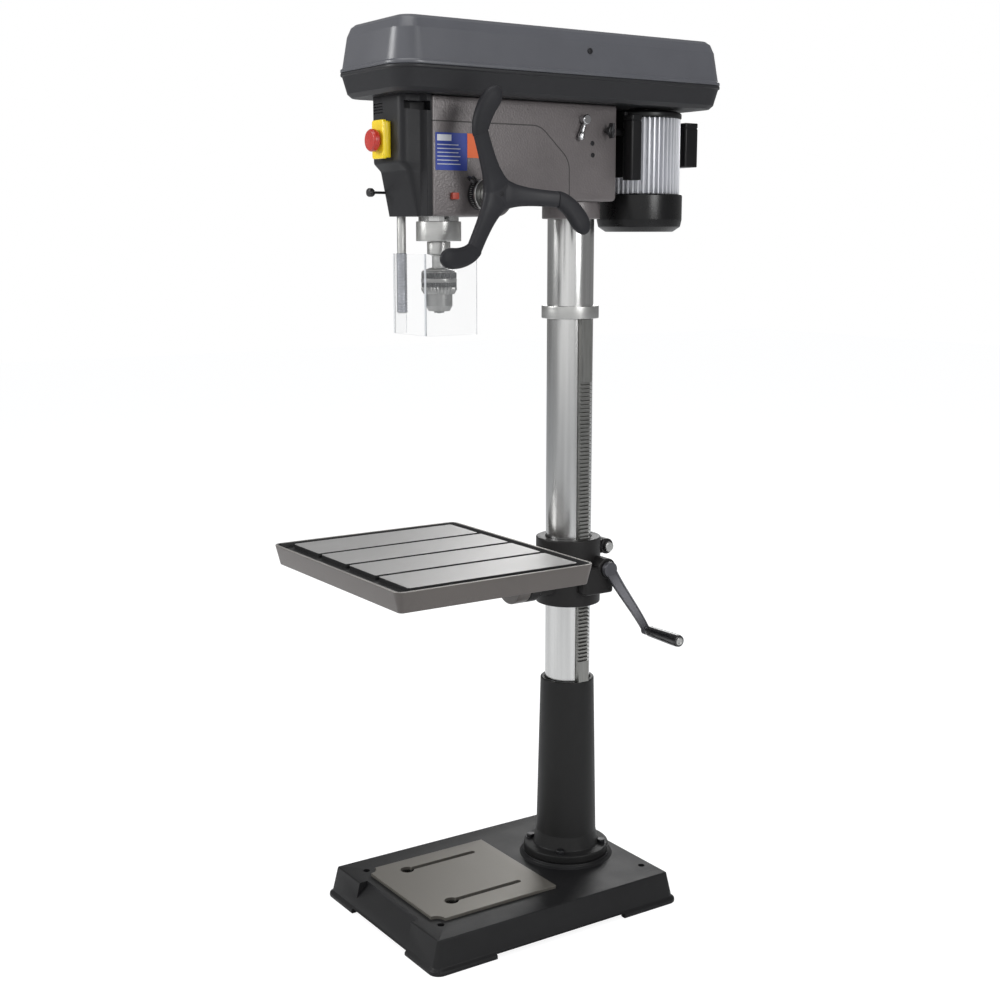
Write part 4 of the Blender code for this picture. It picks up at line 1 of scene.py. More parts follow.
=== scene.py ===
import bpy
import numpy as np
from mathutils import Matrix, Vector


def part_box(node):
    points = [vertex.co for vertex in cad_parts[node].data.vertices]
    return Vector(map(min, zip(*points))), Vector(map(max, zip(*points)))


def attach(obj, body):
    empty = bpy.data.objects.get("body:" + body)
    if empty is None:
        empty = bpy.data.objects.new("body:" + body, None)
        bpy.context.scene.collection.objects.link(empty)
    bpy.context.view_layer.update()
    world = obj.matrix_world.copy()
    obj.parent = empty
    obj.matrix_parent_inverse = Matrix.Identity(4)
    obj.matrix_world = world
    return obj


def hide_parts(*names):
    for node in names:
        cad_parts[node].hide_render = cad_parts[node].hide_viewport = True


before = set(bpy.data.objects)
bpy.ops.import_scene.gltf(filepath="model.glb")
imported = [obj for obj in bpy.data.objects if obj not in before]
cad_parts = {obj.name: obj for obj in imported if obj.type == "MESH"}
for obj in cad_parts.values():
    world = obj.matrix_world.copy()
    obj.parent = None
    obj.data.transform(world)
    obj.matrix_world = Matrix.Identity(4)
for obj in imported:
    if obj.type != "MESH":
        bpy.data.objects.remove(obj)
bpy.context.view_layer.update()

# ---- Base -------------------------------------------------------------------------------------
# One grey-iron casting, open underneath and painted satin black. It stands on four corner feet, and
# its pad is milled bare, so the iron shows grey with two keyhole slots for clamp bolts.
column_low, column_high = (np.array(corner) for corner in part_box("column_tube"))
PRESS = (column_low + column_high) / 2 * (1, 1, 0)     # the column's axis, on the floor
SEAT = 0.0003                                          # between two pieces that touch
AXIS = 0.0004                                          # a turned shape's closed middle


def node_box(node):
    """A CAD node's lowest and highest corners, measured from the column's foot."""
    return (np.array(corner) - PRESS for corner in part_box(node))


def linear(levels):
    """Linear colour of three screen levels from 0 to 255: the standard display curve, undone."""
    level = np.array(levels) / 255
    return tuple(np.where(level <= 0.04045, level / 12.92, ((level + 0.055) / 1.055) ** 2.4))


def wire(tree, node, inputs=None, **settings):
    """Sets up a shader node, new if it is given as its kind. An input takes a value or an output."""
    made = tree.nodes.new("ShaderNode" + node) if isinstance(node, str) else node
    for name, value in settings.items():
        setattr(made, name, value)
    for name, value in (inputs or {}).items():
        if isinstance(value, bpy.types.NodeSocket):
            tree.links.new(value, made.inputs[name])
        else:
            made.inputs[name].default_value = value
    return made


def material_tree(name):
    made = bpy.data.materials.new(name)
    made.use_nodes = True
    return made, made.node_tree


def finish(name, levels, roughness, metallic, mottle, patch, grain, depth=0.00004, stretch=(1, 1, 1),
           coat=0.0, uneven=0.05, cells=False, shine=0.5):
    """A surface with slow patches of light and dark, a fine grain in its bump and an uneven gloss."""
    made, tree = material_tree(name)
    colour = linear(levels)
    place = wire(tree, "TexCoord").outputs["Object"]
    scaled = wire(tree, "Mapping", {"Vector": place, "Scale": stretch}).outputs["Vector"]
    patches = wire(tree, "TexNoise", {"Vector": scaled, "Scale": patch, "Detail": 6,
                                      "Roughness": 0.6}).outputs["Fac"]
    shade = wire(tree, "Mix", data_type="RGBA")
    wire(tree, shade, {"Factor": patches, "A": (*[c * (1 - 2 * mottle) for c in colour], 1),
                       "B": (*[min(1, c * (1 + 2 * mottle)) for c in colour], 1)})
    gloss = wire(tree, "MapRange", {"Value": patches, "To Min": max(0.03, roughness - 2 * uneven),
                                    "To Max": roughness + 2 * uneven})
    if cells:
        fine = wire(tree, "TexVoronoi", feature="SMOOTH_F1")
    else:
        fine = wire(tree, "TexNoise")
    wire(tree, fine, {"Vector": scaled, "Scale": grain})
    relief = wire(tree, "Bump", {"Height": fine.outputs["Distance" if cells else "Fac"],
                                 "Distance": depth, "Strength": 0.8})
    wire(tree, tree.nodes["Principled BSDF"], {
        "Base Color": shade.outputs["Result"], "Roughness": gloss.outputs["Result"],
        "Normal": relief.outputs["Normal"], "Metallic": metallic, "Specular IOR Level": shine,
        "Coat Weight": coat, "Coat Roughness": 0.25})
    return made


def fillet(points, radius, steps=5, closed=False):
    """Rounds the corners of a line of points. Corner P, with S and E at the radius's reach along its
    two sides, becomes the curve (1 - t)^2 S + 2 t (1 - t) P + t^2 E."""
    p = np.asarray(points, float)
    back, on = np.roll(p, 1, 0) - p, np.roll(p, -1, 0) - p
    back_length, on_length = np.linalg.norm(back, axis=1), np.linalg.norm(on, axis=1)
    back, on = back / back_length[:, None], on / on_length[:, None]
    half = np.arccos(np.clip((back * on).sum(1), -1, 1)) / 2
    reach = np.minimum(radius / np.maximum(np.tan(half), 0.05), 0.48 * np.minimum(back_length, on_length))
    if not closed:
        reach[[0, -1]] = 0
    start, end = p + back * reach[:, None], p + on * reach[:, None]
    t = np.linspace(0, 1, steps + 1)[None, :, None]
    curve = (1 - t) ** 2 * start[:, None] + 2 * t * (1 - t) * p[:, None] + t ** 2 * end[:, None]
    curve = curve.reshape(-1, p.shape[1])
    moved = np.linalg.norm(curve - np.roll(curve, 1, 0), axis=1) > 1e-7
    if not closed:
        moved[0] = True
    return curve[moved]


def laid(grid, lay, at):
    """A shape made along its own Z, laid along one of the press's axes and moved to its place."""
    x, y, z = grid[..., 0], grid[..., 1], grid[..., 2]
    return np.stack({"z": (x, y, z), "x": (z, y, -x), "y": (x, z, -y)}[lay], -1) + np.asarray(at)


def raised(rings, heights, lay="z", at=(0, 0, 0)):
    """Flat rings of points, each lifted to its height."""
    height = np.broadcast_to(heights[:, None, None], rings.shape[:2] + (1,))
    return laid(np.concatenate([rings, height], -1), lay, at)


def box_rings(x0, x1, y0, y1, corner, profile, soft=0.002, steps=8, lay="z"):
    """Rings of a round-cornered box: the profile's first number draws each ring in, its second is the
    height. A corner's points are C + r (cos a, sin a), with r the corner less the ring's inset."""
    line = fillet(profile, soft)
    inset = line[:, :1]
    r = np.maximum(corner - inset, 0.0003)
    a = np.linspace(0, np.pi / 2, steps + 1)[None]
    flat = []
    for quarter, (x, y) in enumerate(((x1, y1), (x0, y1), (x0, y0), (x1, y0))):
        cx = x + (inset + r) * (1 if x == x0 else -1)
        cy = y + (inset + r) * (1 if y == y0 else -1)
        turn = a + quarter * np.pi / 2
        flat.append(np.stack([cx + r * np.cos(turn), cy + r * np.sin(turn)], -1))
    return raised(np.concatenate(flat, 1), line[:, 1], lay)


def bar(x0, x1, y0, y1, z0, z1, corner, inset, soft=0.002, lay="z"):
    """A plain box with round upright edges and softened rims."""
    return box_rings(x0, x1, y0, y1, corner, [(inset, z0), (0, z0), (0, z1), (inset, z1)], soft, lay=lay)


def lathe(profile, lay="z", at=(0, 0, 0), soft=0.001, sides=96, hollow=False):
    """A turned shape: each (radius, height) of the softened profile goes round as r (cos a, sin a)."""
    line = fillet(profile, soft, closed=hollow)
    if hollow:
        line = np.vstack([line, line[:1]])
    a = np.linspace(0, 2 * np.pi, sides, endpoint=False)
    return raised(line[:, :1, None] * np.stack([np.cos(a), np.sin(a)], -1), line[:, 1], lay, at)


def tube(inner, outer, low, high, lay="z", at=(0, 0, 0), soft=0.001, sides=96, hollow=True):
    """A plain turned ring. One that isn't hollow is a rod, closed over its inner radius."""
    return lathe([(inner, low), (outer, low), (outer, high), (inner, high)], lay, at, soft, sides, hollow)


def slab(outline, low, high, edge, lay="z", at=(0, 0, 0)):
    """An outline pulled from low to high. Near both ends each point moves in by e (1 - sin t) along
    its corner's bisector while the height changes by e (1 - cos t), so that the edges are round."""
    p = np.asarray(outline, float)
    if np.sum(p[:, 0] * np.roll(p[:, 1], -1) - np.roll(p[:, 0], -1) * p[:, 1]) < 0:
        p = p[::-1]
    side = np.roll(p, -1, 0) - p
    out = np.stack([side[:, 1], -side[:, 0]], -1) / np.linalg.norm(side, axis=1)[:, None]
    before = np.roll(out, 1, 0)
    bisector = (out + before) / np.maximum(1 + (out * before).sum(1), 0.3)[:, None]
    t = np.linspace(0, np.pi / 2, 4)
    inset, rise = edge * (1 - np.sin(t)), edge * (1 - np.cos(t))
    insets = np.concatenate([inset, inset[::-1]])[:, None, None]
    return raised(p - insets * bisector, np.concatenate([low + rise, (high - rise)[::-1]]), lay, at)


def prism(outline, low, high):
    """A sharp-edged outline between two levels. A level is one height or one for each corner."""
    p = np.asarray(outline, float)
    return np.stack([np.column_stack([p, np.broadcast_to(z, len(p))]) for z in (low, high)])


def block(x0, x1, y0, y1, z0, z1):
    return prism([(x0, y0), (x1, y0), (x1, y1), (x0, y1)], z0, z1)


def skinned(name, shells):
    """One mesh from closed grids of points: quads between neighbouring rows, and a face over each end
    row, unless the last row repeats the first. A shell whose volume is negative is turned round."""
    points, faces, start = [], [], 0
    for grid in shells:
        grid = grid + PRESS
        looped = np.allclose(grid[0], grid[-1])
        rows = grid[:-1] if looped else grid
        index = start + np.arange(rows.shape[0] * rows.shape[1]).reshape(rows.shape[:2])
        low = index if looped else index[:-1]
        high = np.roll(index, -1, 0) if looped else index[1:]
        quads = np.stack([low, np.roll(low, -1, 1), np.roll(high, -1, 1), high], -1).reshape(-1, 4)
        ends = [] if looped else [index[0][::-1], index[-1]]
        flat = rows.reshape(-1, 3)
        corner = flat[quads - start] - flat.mean(0)
        volume = np.einsum("ij,ij->i", corner[:, 0], np.cross(corner[:, 1], corner[:, 2])
                           + np.cross(corner[:, 2], corner[:, 3])).sum()
        for end in ends:
            ring = flat[end - start] - flat.mean(0)
            volume += np.einsum("j,ij->i", ring[0], np.cross(ring[1:-1], ring[2:])).sum()
        if volume < 0:
            quads, ends = quads[:, ::-1], [end[::-1] for end in ends]
        faces += quads.tolist() + [end.tolist() for end in ends]
        points.append(flat)
        start += len(flat)
    mesh = bpy.data.meshes.new(name)
    mesh.from_pydata(np.concatenate(points), [], faces)
    return mesh


def smooth(mesh, sharp=33):
    mesh.shade_smooth()
    mesh.set_sharp_from_angle(angle=np.radians(sharp))


def shown(name, data):
    made = bpy.data.objects.new(name, data)
    bpy.context.scene.collection.objects.link(made)
    return made


def put(name, shells, body, slot, material, stands_for=(), sharp=33):
    """Makes one piece from its shells, moves it from the column's foot to its place and fixes it."""
    made = shown(name, skinned(name, shells))
    made.data.materials.append(material)
    smooth(made.data, sharp)
    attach(made, body)
    if stands_for:
        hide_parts(*stands_for)
    return made


def carve(made, shells):
    """Takes closed shells away from a piece, as a cutter takes metal, and keeps the result's mesh."""
    for shell in shells:
        tool = shown("tool", skinned("tool", [shell]))
        change = made.modifiers.new("cut", "BOOLEAN")
        change.operation = "DIFFERENCE"
        change.solver = "EXACT"
        change.object = tool
        bpy.context.view_layer.update()
        seen = made.evaluated_get(bpy.context.evaluated_depsgraph_get())
        mesh = bpy.data.meshes.new_from_object(seen)
        made.modifiers.clear()
        made.data = mesh
        bpy.data.objects.remove(tool)
    smooth(made.data)


def ease(made, width):
    """A live bevel on the edges that a cutter left sharp."""
    bevel = made.modifiers.new("eased", "BEVEL")
    bevel.width = width
    bevel.segments = 2
    bevel.limit_method = "ANGLE"
    bevel.angle_limit = np.radians(40)
    bevel.harden_normals = False


BASE_LIP, BASE_DRAFT, BASE_WALL, BASE_CORNER = 0.008, 0.0195, 0.013, 0.022
BASE_TOP = 0.064
FOOT_RISE, FOOT_LENGTH = 0.010, 0.140
RECESS_HALF = 0.107
PAD_HALF, PAD_LENGTH, PAD_NOTCH = 0.138, 0.281, 0.020
PAD_TOP = BASE_TOP + 0.006
SLOT_HALF, SLOT_LENGTH, SLOT_SPACING = 0.006, 0.164, 0.172
KEYHOLE_RADIUS, FLOOR_BOLT_RADIUS = 0.014, 0.007
BOSS_RADIUS = 0.092
CUT_LOW, CUT_HIGH = 0.02, 0.09                         # levels clear of the base's top plate
base_low, base_high = node_box("base_casting")
flange_low, flange_high = node_box("column_sleeve")
PAD_FRONT = base_low[1] + 0.053
iron_black = finish("satin_black_iron", (25, 25, 26), 0.44, 0.0, 0.12, 14, 700, 0.00012, shine=0.22)
pad_iron = finish("milled_iron", (106, 103, 97), 0.42, 0.5, 0.08, 10, 260, 0.00003, (1, 14, 1))
base = put("base_body", [box_rings(base_low[0], base_high[0], base_low[1], base_high[1], BASE_CORNER, [
    (BASE_WALL + BASE_DRAFT, BASE_TOP - BASE_WALL), (BASE_WALL, 0), (0, 0), (0.0005, BASE_LIP),
    (0.007, BASE_LIP + 0.005), (BASE_DRAFT - 0.001, BASE_TOP - 0.001), (0.06, BASE_TOP)], 0.0035)],
    "frame", "base_iron", iron_black, ["base_casting"])
recess = np.array([(-0.05, 0.022), (0.002, 0.022), (0.034, BASE_TOP - 0.008), (0.038, BASE_TOP + 0.01),
                   (-0.05, BASE_TOP + 0.01)]) + (base_low[1], 0)
bolt_x = (base_high[0] - base_low[0]) / 2 - 0.072
carve(base, [
    block(base_low[0] - 0.1, base_high[0] + 0.1, base_low[1] + FOOT_LENGTH, base_high[1] - FOOT_LENGTH,
          -0.01, FOOT_RISE),
    block(-RECESS_HALF, RECESS_HALF, base_low[1] - 0.05, base_high[1] + 0.05, -0.01, FOOT_RISE + 0.0002),
    prism(recess, -RECESS_HALF + 0.004, RECESS_HALF - 0.004)[..., [2, 0, 1]]] + [
    lathe([(FLOOR_BOLT_RADIUS, CUT_LOW), (FLOOR_BOLT_RADIUS, CUT_HIGH)], at=(x, y, 0), sides=40)
    for x in (-bolt_x, bolt_x) for y in (base_low[1] + 0.058, base_high[1] - 0.042)])
pad = put("base_pad", [bar(-PAD_HALF, PAD_HALF, PAD_FRONT, PAD_FRONT + PAD_LENGTH, BASE_TOP - 0.02,
                           PAD_TOP, 0.002, 0.02, 0.001)],
          "frame", "base_iron", pad_iron, ["base_casting"])
carve(pad, [lathe([(PAD_NOTCH, BASE_TOP - 0.03), (PAD_NOTCH, PAD_TOP + 0.01)],
                  at=(side * PAD_HALF, PAD_FRONT, 0)) for side in (-1, 1)])
for side in (-1, 1):
    slot_x, slot_y = side * SLOT_SPACING / 2 - 0.006, PAD_FRONT + 0.070
    slot_end = slot_y + SLOT_LENGTH - SLOT_HALF
    keyhole = [block(slot_x - SLOT_HALF, slot_x + SLOT_HALF, slot_y, slot_end, CUT_LOW, CUT_HIGH)] + [
        lathe([(radius, CUT_LOW), (radius, CUT_HIGH)], at=(slot_x, y, 0), sides=sides)
        for radius, y, sides in ((SLOT_HALF, slot_end, 40), (KEYHOLE_RADIUS, slot_y, 56))]
    carve(pad, keyhole)
    carve(base, keyhole)
ease(base, 0.0012)
ease(pad, 0.0006)
boss_top = flange_low[2] - SEAT
put("column_boss", [lathe([(0.05, BASE_TOP - 0.006), (BOSS_RADIUS + 0.008, BASE_TOP - 0.006),
                           (BOSS_RADIUS + 0.006, BASE_TOP), (BOSS_RADIUS, BASE_TOP + 0.003),
                           (BOSS_RADIUS - 0.001, boss_top), (0.05, boss_top)], soft=0.0025)],
    "frame", "base_iron", iron_black)

# ---- Column sleeve and its bolts --------------------------------------------------------------
# A tapered iron socket cast with a round flange, painted satin black. Four hexagon bolts with
# washers hold it to the base, and the column stands in it.
sleeve_black = finish("satin_black_sleeve", (28, 28, 28), 0.46, 0.0, 0.12, 12, 700, 0.00010, shine=0.22)
COLUMN_BORE = 0.0463
BOLT_CIRCLE = 0.075
bolt_foot = flange_low[2] + 0.016
put("sleeve", [lathe([
    (COLUMN_BORE, flange_low[2]), (flange_high[0], flange_low[2]), (flange_high[0], bolt_foot),
    (0.069, flange_low[2] + 0.018), (0.0625, flange_low[2] + 0.046), (0.0553, flange_high[2]),
    (COLUMN_BORE, flange_high[2])], soft=0.003, hollow=True)],
    "frame", "sleeve_iron", sleeve_black, ["column_sleeve"])
bolt_black = finish("blacked_bolts", (38, 38, 40), 0.35, 0.6, 0.1, 40, 2000)
corners = np.linspace(0, 2 * np.pi, 6, endpoint=False)[:, None] + 0.3
hexagon = np.concatenate([np.cos(corners), np.sin(corners)], 1)
flange_bolts = []
for turn in np.arange(4) * np.pi / 2 + np.pi / 4:
    at = (BOLT_CIRCLE * np.cos(turn), BOLT_CIRCLE * np.sin(turn), bolt_foot)
    flange_bolts += [
        tube(0.002, 0.0105, 0, 0.0016, at=at, soft=0.0004, hollow=False),
        slab(hexagon * 0.0092, 0.0016, 0.0085, 0.0008, at=at),
        lathe([(0.002, 0.006), (0.0085, 0.0078), (0.0072, 0.0092), (0.002, 0.0092)], at=at, soft=0.0006)]
put("flange_bolts", flange_bolts, "frame", "sleeve_iron", bolt_black)

# ---- Column -----------------------------------------------------------------------------------
# Drawn steel tube, ground bright along its length and oiled. The light and dark streaks along its length in
# its colour are painted reflection bands.
COLUMN_RADIUS = column_high[0] - PRESS[0]
# Strong mottle stretched far along Z: light and dark streaks down the tube, painted reflection bands.
column_steel = finish("ground_tube_painted_reflections", (196, 196, 195), 0.22, 1.0, 0.22, 46, 900, 0.00002, (1, 1, 0.012),
                      uneven=0.06)
put("column", [tube(COLUMN_RADIUS - 0.006, COLUMN_RADIUS, column_low[2], column_high[2], soft=0.0004,
                    sides=144)], "frame", "column_steel", column_steel, ["column_tube"])

# ---- Rack ring and lift rack ------------------------------------------------------------------
# A turned steel collar on the column traps the rack's top end, and the sleeve's rim its foot. The
# rack is a milled bar that swings round the column with the table.
ring_low, ring_high = node_box("rack_ring")
turned_steel = finish("turned_steel", (186, 186, 184), 0.34, 1.0, 0.06, 20, 1200, 0.00002, (1, 1, 9))
put("collar_ring", [tube(COLUMN_BORE, ring_high[0], ring_low[2], ring_high[2], soft=0.0018)],
    "frame", "ring_steel", turned_steel, ["rack_ring"])
screw_dark = finish("screw_black", (40, 40, 42), 0.4, 0.7, 0.08, 40, 1800)
put("ring_screws", [lathe([(0.0003, -0.002), (0.0042, -0.002), (0.0042, 0.0006), (0.0024, 0.0006),
                           (0.0022, -0.0012), (0.0003, -0.0012)], "x",
                          (ring_high[0] - 0.001, 0, (ring_low[2] + ring_high[2]) / 2), 0.0003, 36)],
    "frame", "ring_steel", screw_dark)


def refinish(material, *nodes):
    """Gives its own finish to each CAD node that shows as it is."""
    for node in nodes:
        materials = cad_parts[node].data.materials
        materials.clear()
        materials.append(material)


refinish(finish("milled_rack", (140, 140, 137), 0.34, 1.0, 0.12, 18, 700, 0.00003, (1, 12, 1)),
         "lift_rack", "lift_gear", "worm_shaft")

# ---- Table bracket ----------------------------------------------------------------------------
# An iron casting that clamps round the column through a slit at the back. Its side housing holds
# the worm and gear, and the round boss at its front carries the tilting table.
bracket_low, bracket_high = node_box("table_bracket")
table_low, table_high = node_box("table_casting")
bolt_low, bolt_high = node_box("tilt_bolt")
bracket_black = finish("satin_black_bracket", (30, 29, 29), 0.42, 0.0, 0.12, 16, 600, 0.00012, shine=0.22)
CRANK_Y, CRANK_Z, GEAR_Z = 0.031, 0.6912, 0.6662
AT_CRANK = (0, CRANK_Y, CRANK_Z)
HOUSING_START, HOUSING_END = 0.0585, 0.0905
TILT_Z = 0.668
AT_TILT = (0, 0, TILT_Z)
DISC_RADIUS = 0.044
TRUNNION_FACE = table_high[1] + SEAT
EAR_Y, EAR_Z = 0.076, 0.722
SLIT_HALF = 0.003
BRACKET = "bracket", "bracket_iron", bracket_black
bracket = put("bracket_casting", [tube(0.0465, 0.066, bracket_low[2], bracket_high[2], soft=0.003)],
              *BRACKET, ["table_bracket"])
carve(bracket, [block(*sides, bracket_low[2] - 0.01, bracket_high[2] + 0.01)
                for sides in ((0.02, 0.0575, -0.013, 0.013), (-SLIT_HALF, SLIT_HALF, 0.02, 0.09))])
put("bracket_housing", [
    bar(HOUSING_START, HOUSING_END, -0.023, 0.050, GEAR_Z - 0.026, CRANK_Z + 0.004, 0.009, 0.012, 0.006),
    lathe([(0.0125, HOUSING_START), (0.021, HOUSING_START), (0.021, HOUSING_END + 0.001),
           (0.0145, HOUSING_END + 0.001), (0.0135, HOUSING_END - 0.002), (0.0125, HOUSING_END - 0.002)],
          "x", AT_CRANK, 0.0018, hollow=True)], *BRACKET)
put("bracket_trunnion", [
    bar(-0.034, 0.034, TRUNNION_FACE + 0.006, -0.0475, TILT_Z - 0.030, TILT_Z + 0.030, 0.010, 0.01, 0.006),
    tube(0.004, DISC_RADIUS, TRUNNION_FACE, TRUNNION_FACE + 0.0257, "y", AT_TILT, 0.003, hollow=False)],
    *BRACKET)
ears = []
for side in (-1, 1):
    boss, web = sorted((side * 0.0032, side * 0.032)), sorted((side * 0.0032, side * 0.028))
    ears += [tube(0.0055, 0.016, *boss, "x", (0, EAR_Y, EAR_Z), 0.002),
             bar(*web, 0.050, EAR_Y - 0.006, EAR_Z - 0.014, EAR_Z + 0.014, 0.003, 0.008)]
put("bracket_ears", ears, *BRACKET)
dark_steel = finish("machined_steel", (160, 160, 158), 0.32, 1.0, 0.08, 20, 1500)
put("tilt_screw", [
    slab(hexagon * 0.014, bolt_high[1] - 0.0097, bolt_high[1], 0.0012, "y", AT_TILT),
    tube(0.001, 0.008, bolt_low[1], bolt_high[1] - 0.005, "y", AT_TILT, 0.0008, 56, False)],
    "bracket", "dark_steel", dark_steel, ["tilt_bolt"])

# ---- Crank ------------------------------------------------------------------------------------
# A cast aluminium arm pinned to the worm's shaft. It leans out to a turned black grip that spins on
# its pin, with a bright end cap.
grip_low, grip_high = node_box("crank_grip")
CRANK_FACE, CRANK_LEAN = 0.1045, 0.048
CRANK_END = CRANK_FACE + CRANK_LEAN
GRIP_AT = (0, (grip_low[1] + grip_high[1]) / 2, (grip_low[2] + grip_high[2]) / 2)
GRIP_END = grip_high[0]
crank_cast = finish("crank_aluminium", (84, 84, 88), 0.42, 0.7, 0.10, 22, 900, 0.00006)
crank_reach = np.array([GRIP_AT[1] - CRANK_Y, GRIP_AT[2] - CRANK_Z])
crank_length = np.linalg.norm(crank_reach)
crank_along = crank_reach / crank_length


def crank_section(share):
    """The arm's section at a share s of its length: a grooved, round-edged bar 2w across with
    w = 12 - 4.5 s mm. Its face leans out by L (0.45 s + 0.55 s^2 (3 - 2 s)) on its way to the grip."""
    half = (0.012 - 0.0045 * share)[:, None]
    lean = CRANK_LEAN * (0.45 * share + 0.55 * share * share * (3 - 2 * share))
    width = half * [-1, -1, -0.92, -0.7, -0.62, 0, 0.62, 0.7, 0.92, 1, 1, 0.9, 0, -0.9]
    depth = np.array([-8.5, -1, 0, 0, -1.6, -1.6, -1.6, 0, 0, -1, -8.5, -10, -10, -10]) / 1000
    reach = (share * crank_length)[:, None] + 0 * width
    return np.stack([depth + (CRANK_FACE - 0.001 + lean)[:, None],
                     CRANK_Y + reach * crank_along[0] - width * crank_along[1],
                     CRANK_Z + reach * crank_along[1] + width * crank_along[0]], -1)


put("crank", [
    crank_section(np.linspace(0, 1, 25)),
    tube(0.0083, 0.0155, HOUSING_END + 0.0022, CRANK_FACE, "x", AT_CRANK, 0.0018, hollow=False),
    lathe([(0.002, CRANK_END - 0.011), (0.0095, CRANK_END - 0.011), (0.0095, CRANK_END + 0.001),
           (0.004, CRANK_END + 0.001), (0.004, GRIP_END - 0.003)], "x", GRIP_AT, 0.0012, 56)],
    "crank", "crank_aluminium", crank_cast, ["crank_arm"])
put("crank_screw", [lathe([
    (0.0005, CRANK_FACE - 0.0015), (0.0062, CRANK_FACE - 0.0015), (0.0058, CRANK_FACE - 0.0002),
    (0.003, CRANK_FACE - 0.0002), (0.0028, CRANK_FACE - 0.001), (0.0005, CRANK_FACE - 0.001)],
    "x", AT_CRANK, 0.0004, 40)], "crank", "dark_steel", dark_steel)
grip_black = finish("grip_black", (26, 26, 28), 0.22, 0.0, 0.06, 30, 1500, 0.00002, coat=0.4)
put("grip", [lathe([
    (0.0045, grip_low[0]), (0.0095, grip_low[0]), (0.0108, grip_low[0] + 0.005), (0.0125, GRIP_END - 0.022),
    (0.0122, GRIP_END - 0.006), (0.0110, GRIP_END - 0.001), (0.0045, GRIP_END - 0.001)],
    "x", GRIP_AT, 0.002, 64, True)], "grip", "grip_black", grip_black, ["crank_grip"])
put("grip_cap", [lathe([
    (0.0005, GRIP_END - 0.004), (0.0078, GRIP_END - 0.004), (0.0078, GRIP_END - 0.0006),
    (0.0050, GRIP_END - 0.0001), (0.0044, GRIP_END - 0.0012), (0.0005, GRIP_END - 0.0012)],
    "x", GRIP_AT, 0.0007, 48)], "grip", "ring_steel", turned_steel)

# ---- Bracket clamp lever ----------------------------------------------------------------------
# A steel bolt draws the bracket's ears together. Its round head carries a black lever with a
# ball-ended handle.
AT_CLAMP = (0, EAR_Y, EAR_Z)
black_paint = finish("black_paint", (20, 20, 21), 0.34, 0.0, 0.08, 25, 1300, 0.00004, shine=0.22)


def turned_about_x(grid, degrees, at):
    """A grid turned about X and moved: (y, z) goes to (y cos a - z sin a, y sin a + z cos a)."""
    a = np.radians(degrees)
    x, y, z = grid[..., 0], grid[..., 1], grid[..., 2]
    return np.stack([x, y * np.cos(a) - z * np.sin(a), y * np.sin(a) + z * np.cos(a)], -1) + np.array(at)


put("clamp_handle", [
    tube(0.002, 0.011, -0.052, -0.0323, "x", AT_CLAMP, 0.0015, 64, False),
    turned_about_x(lathe([(0.002, 0.004), (0.0050, 0.004), (0.0045, 0.070), (0.0095, 0.078), (0.0110, 0.088),
                          (0.0090, 0.097), (0.0040, 0.101)], soft=0.004, sides=48),
                   -150, (-0.044, EAR_Y, EAR_Z))],
    "clamp", "black_metal", black_paint, ["clamp_lever"])
put("clamp_bolt", [lathe([(0.002, -0.0326), (0.0047, -0.0326), (0.0047, 0.0325), (0.010, 0.0325),
                          (0.010, 0.0400), (0.0085, 0.041), (0.002, 0.041)], "x", AT_CLAMP, 0.0008, 48)],
    "clamp", "ring_steel", turned_steel)

# ---- Table ------------------------------------------------------------------------------------
# A ribbed iron casting, painted warm grey on its rim. The top is planed bright in four strips
# between T-grooves, inside a coolant trough that is left dark.
TABLE_TOP = table_high[2]
TABLE_FOOT = TABLE_TOP - 0.040
RIM = 0.006
TROUGH_SIDE, TROUGH_FRONT = 0.025, 0.036
GROOVE_HALF, STRIPS = 0.006, 4
table_paint = finish("warm_grey_iron", (82, 77, 74), 0.40, 0.1, 0.10, 9, 420, 0.00022, coat=0.15)
trough_paint = finish("dark_trough", (24, 24, 25), 0.5, 0.1, 0.10, 12, 900, 0.00008)
planed_iron = finish("planed_iron", (168, 167, 166), 0.46, 0.65, 0.06, 7, 200, 0.00006, (26, 1, 1))
# The rim's top faces are lighter: rubbed wear, and a painted highlight along the rim's top edges.
rim_wear_and_highlight_iron = finish("rim_wear_and_painted_highlight", (150, 147, 143), 0.40, 0.5, 0.10, 14, 500, 0.00008)


def of_faces(made, what):
    """The centre or the normal of every face of a piece."""
    values = np.empty(len(made.data.polygons) * 3)
    made.data.polygons.foreach_get(what, values)
    return values.reshape(-1, 3)


def repaint(made, numbers, *materials):
    """Adds finishes to a piece and gives each face the number of the one that it takes."""
    for material in materials:
        made.data.materials.append(material)
    made.data.polygons.foreach_set("material_index", numbers.astype(np.int32))


table = put("table", [box_rings(table_low[0], table_high[0], table_low[1], table_high[1], 0.019, [
    (0.08, TABLE_TOP - 0.016), (0.019, TABLE_TOP - 0.016), (0.018, TABLE_FOOT), (0.010, TABLE_FOOT),
    (0, TABLE_TOP), (RIM, TABLE_TOP), (RIM + 0.001, TABLE_TOP - 0.009), (0.08, TABLE_TOP - 0.009)], 0.0018)],
    "table", "table_iron", table_paint, ["table_casting"])
x, y, z = (of_faces(table, "center") - PRESS).T
inside = (np.abs(x) < table_high[0] - RIM + 0.0002) & (y < table_high[1] - RIM + 0.0002) \
    & (y > table_low[1] + RIM - 0.0002) & (z > TABLE_TOP - 0.0115)
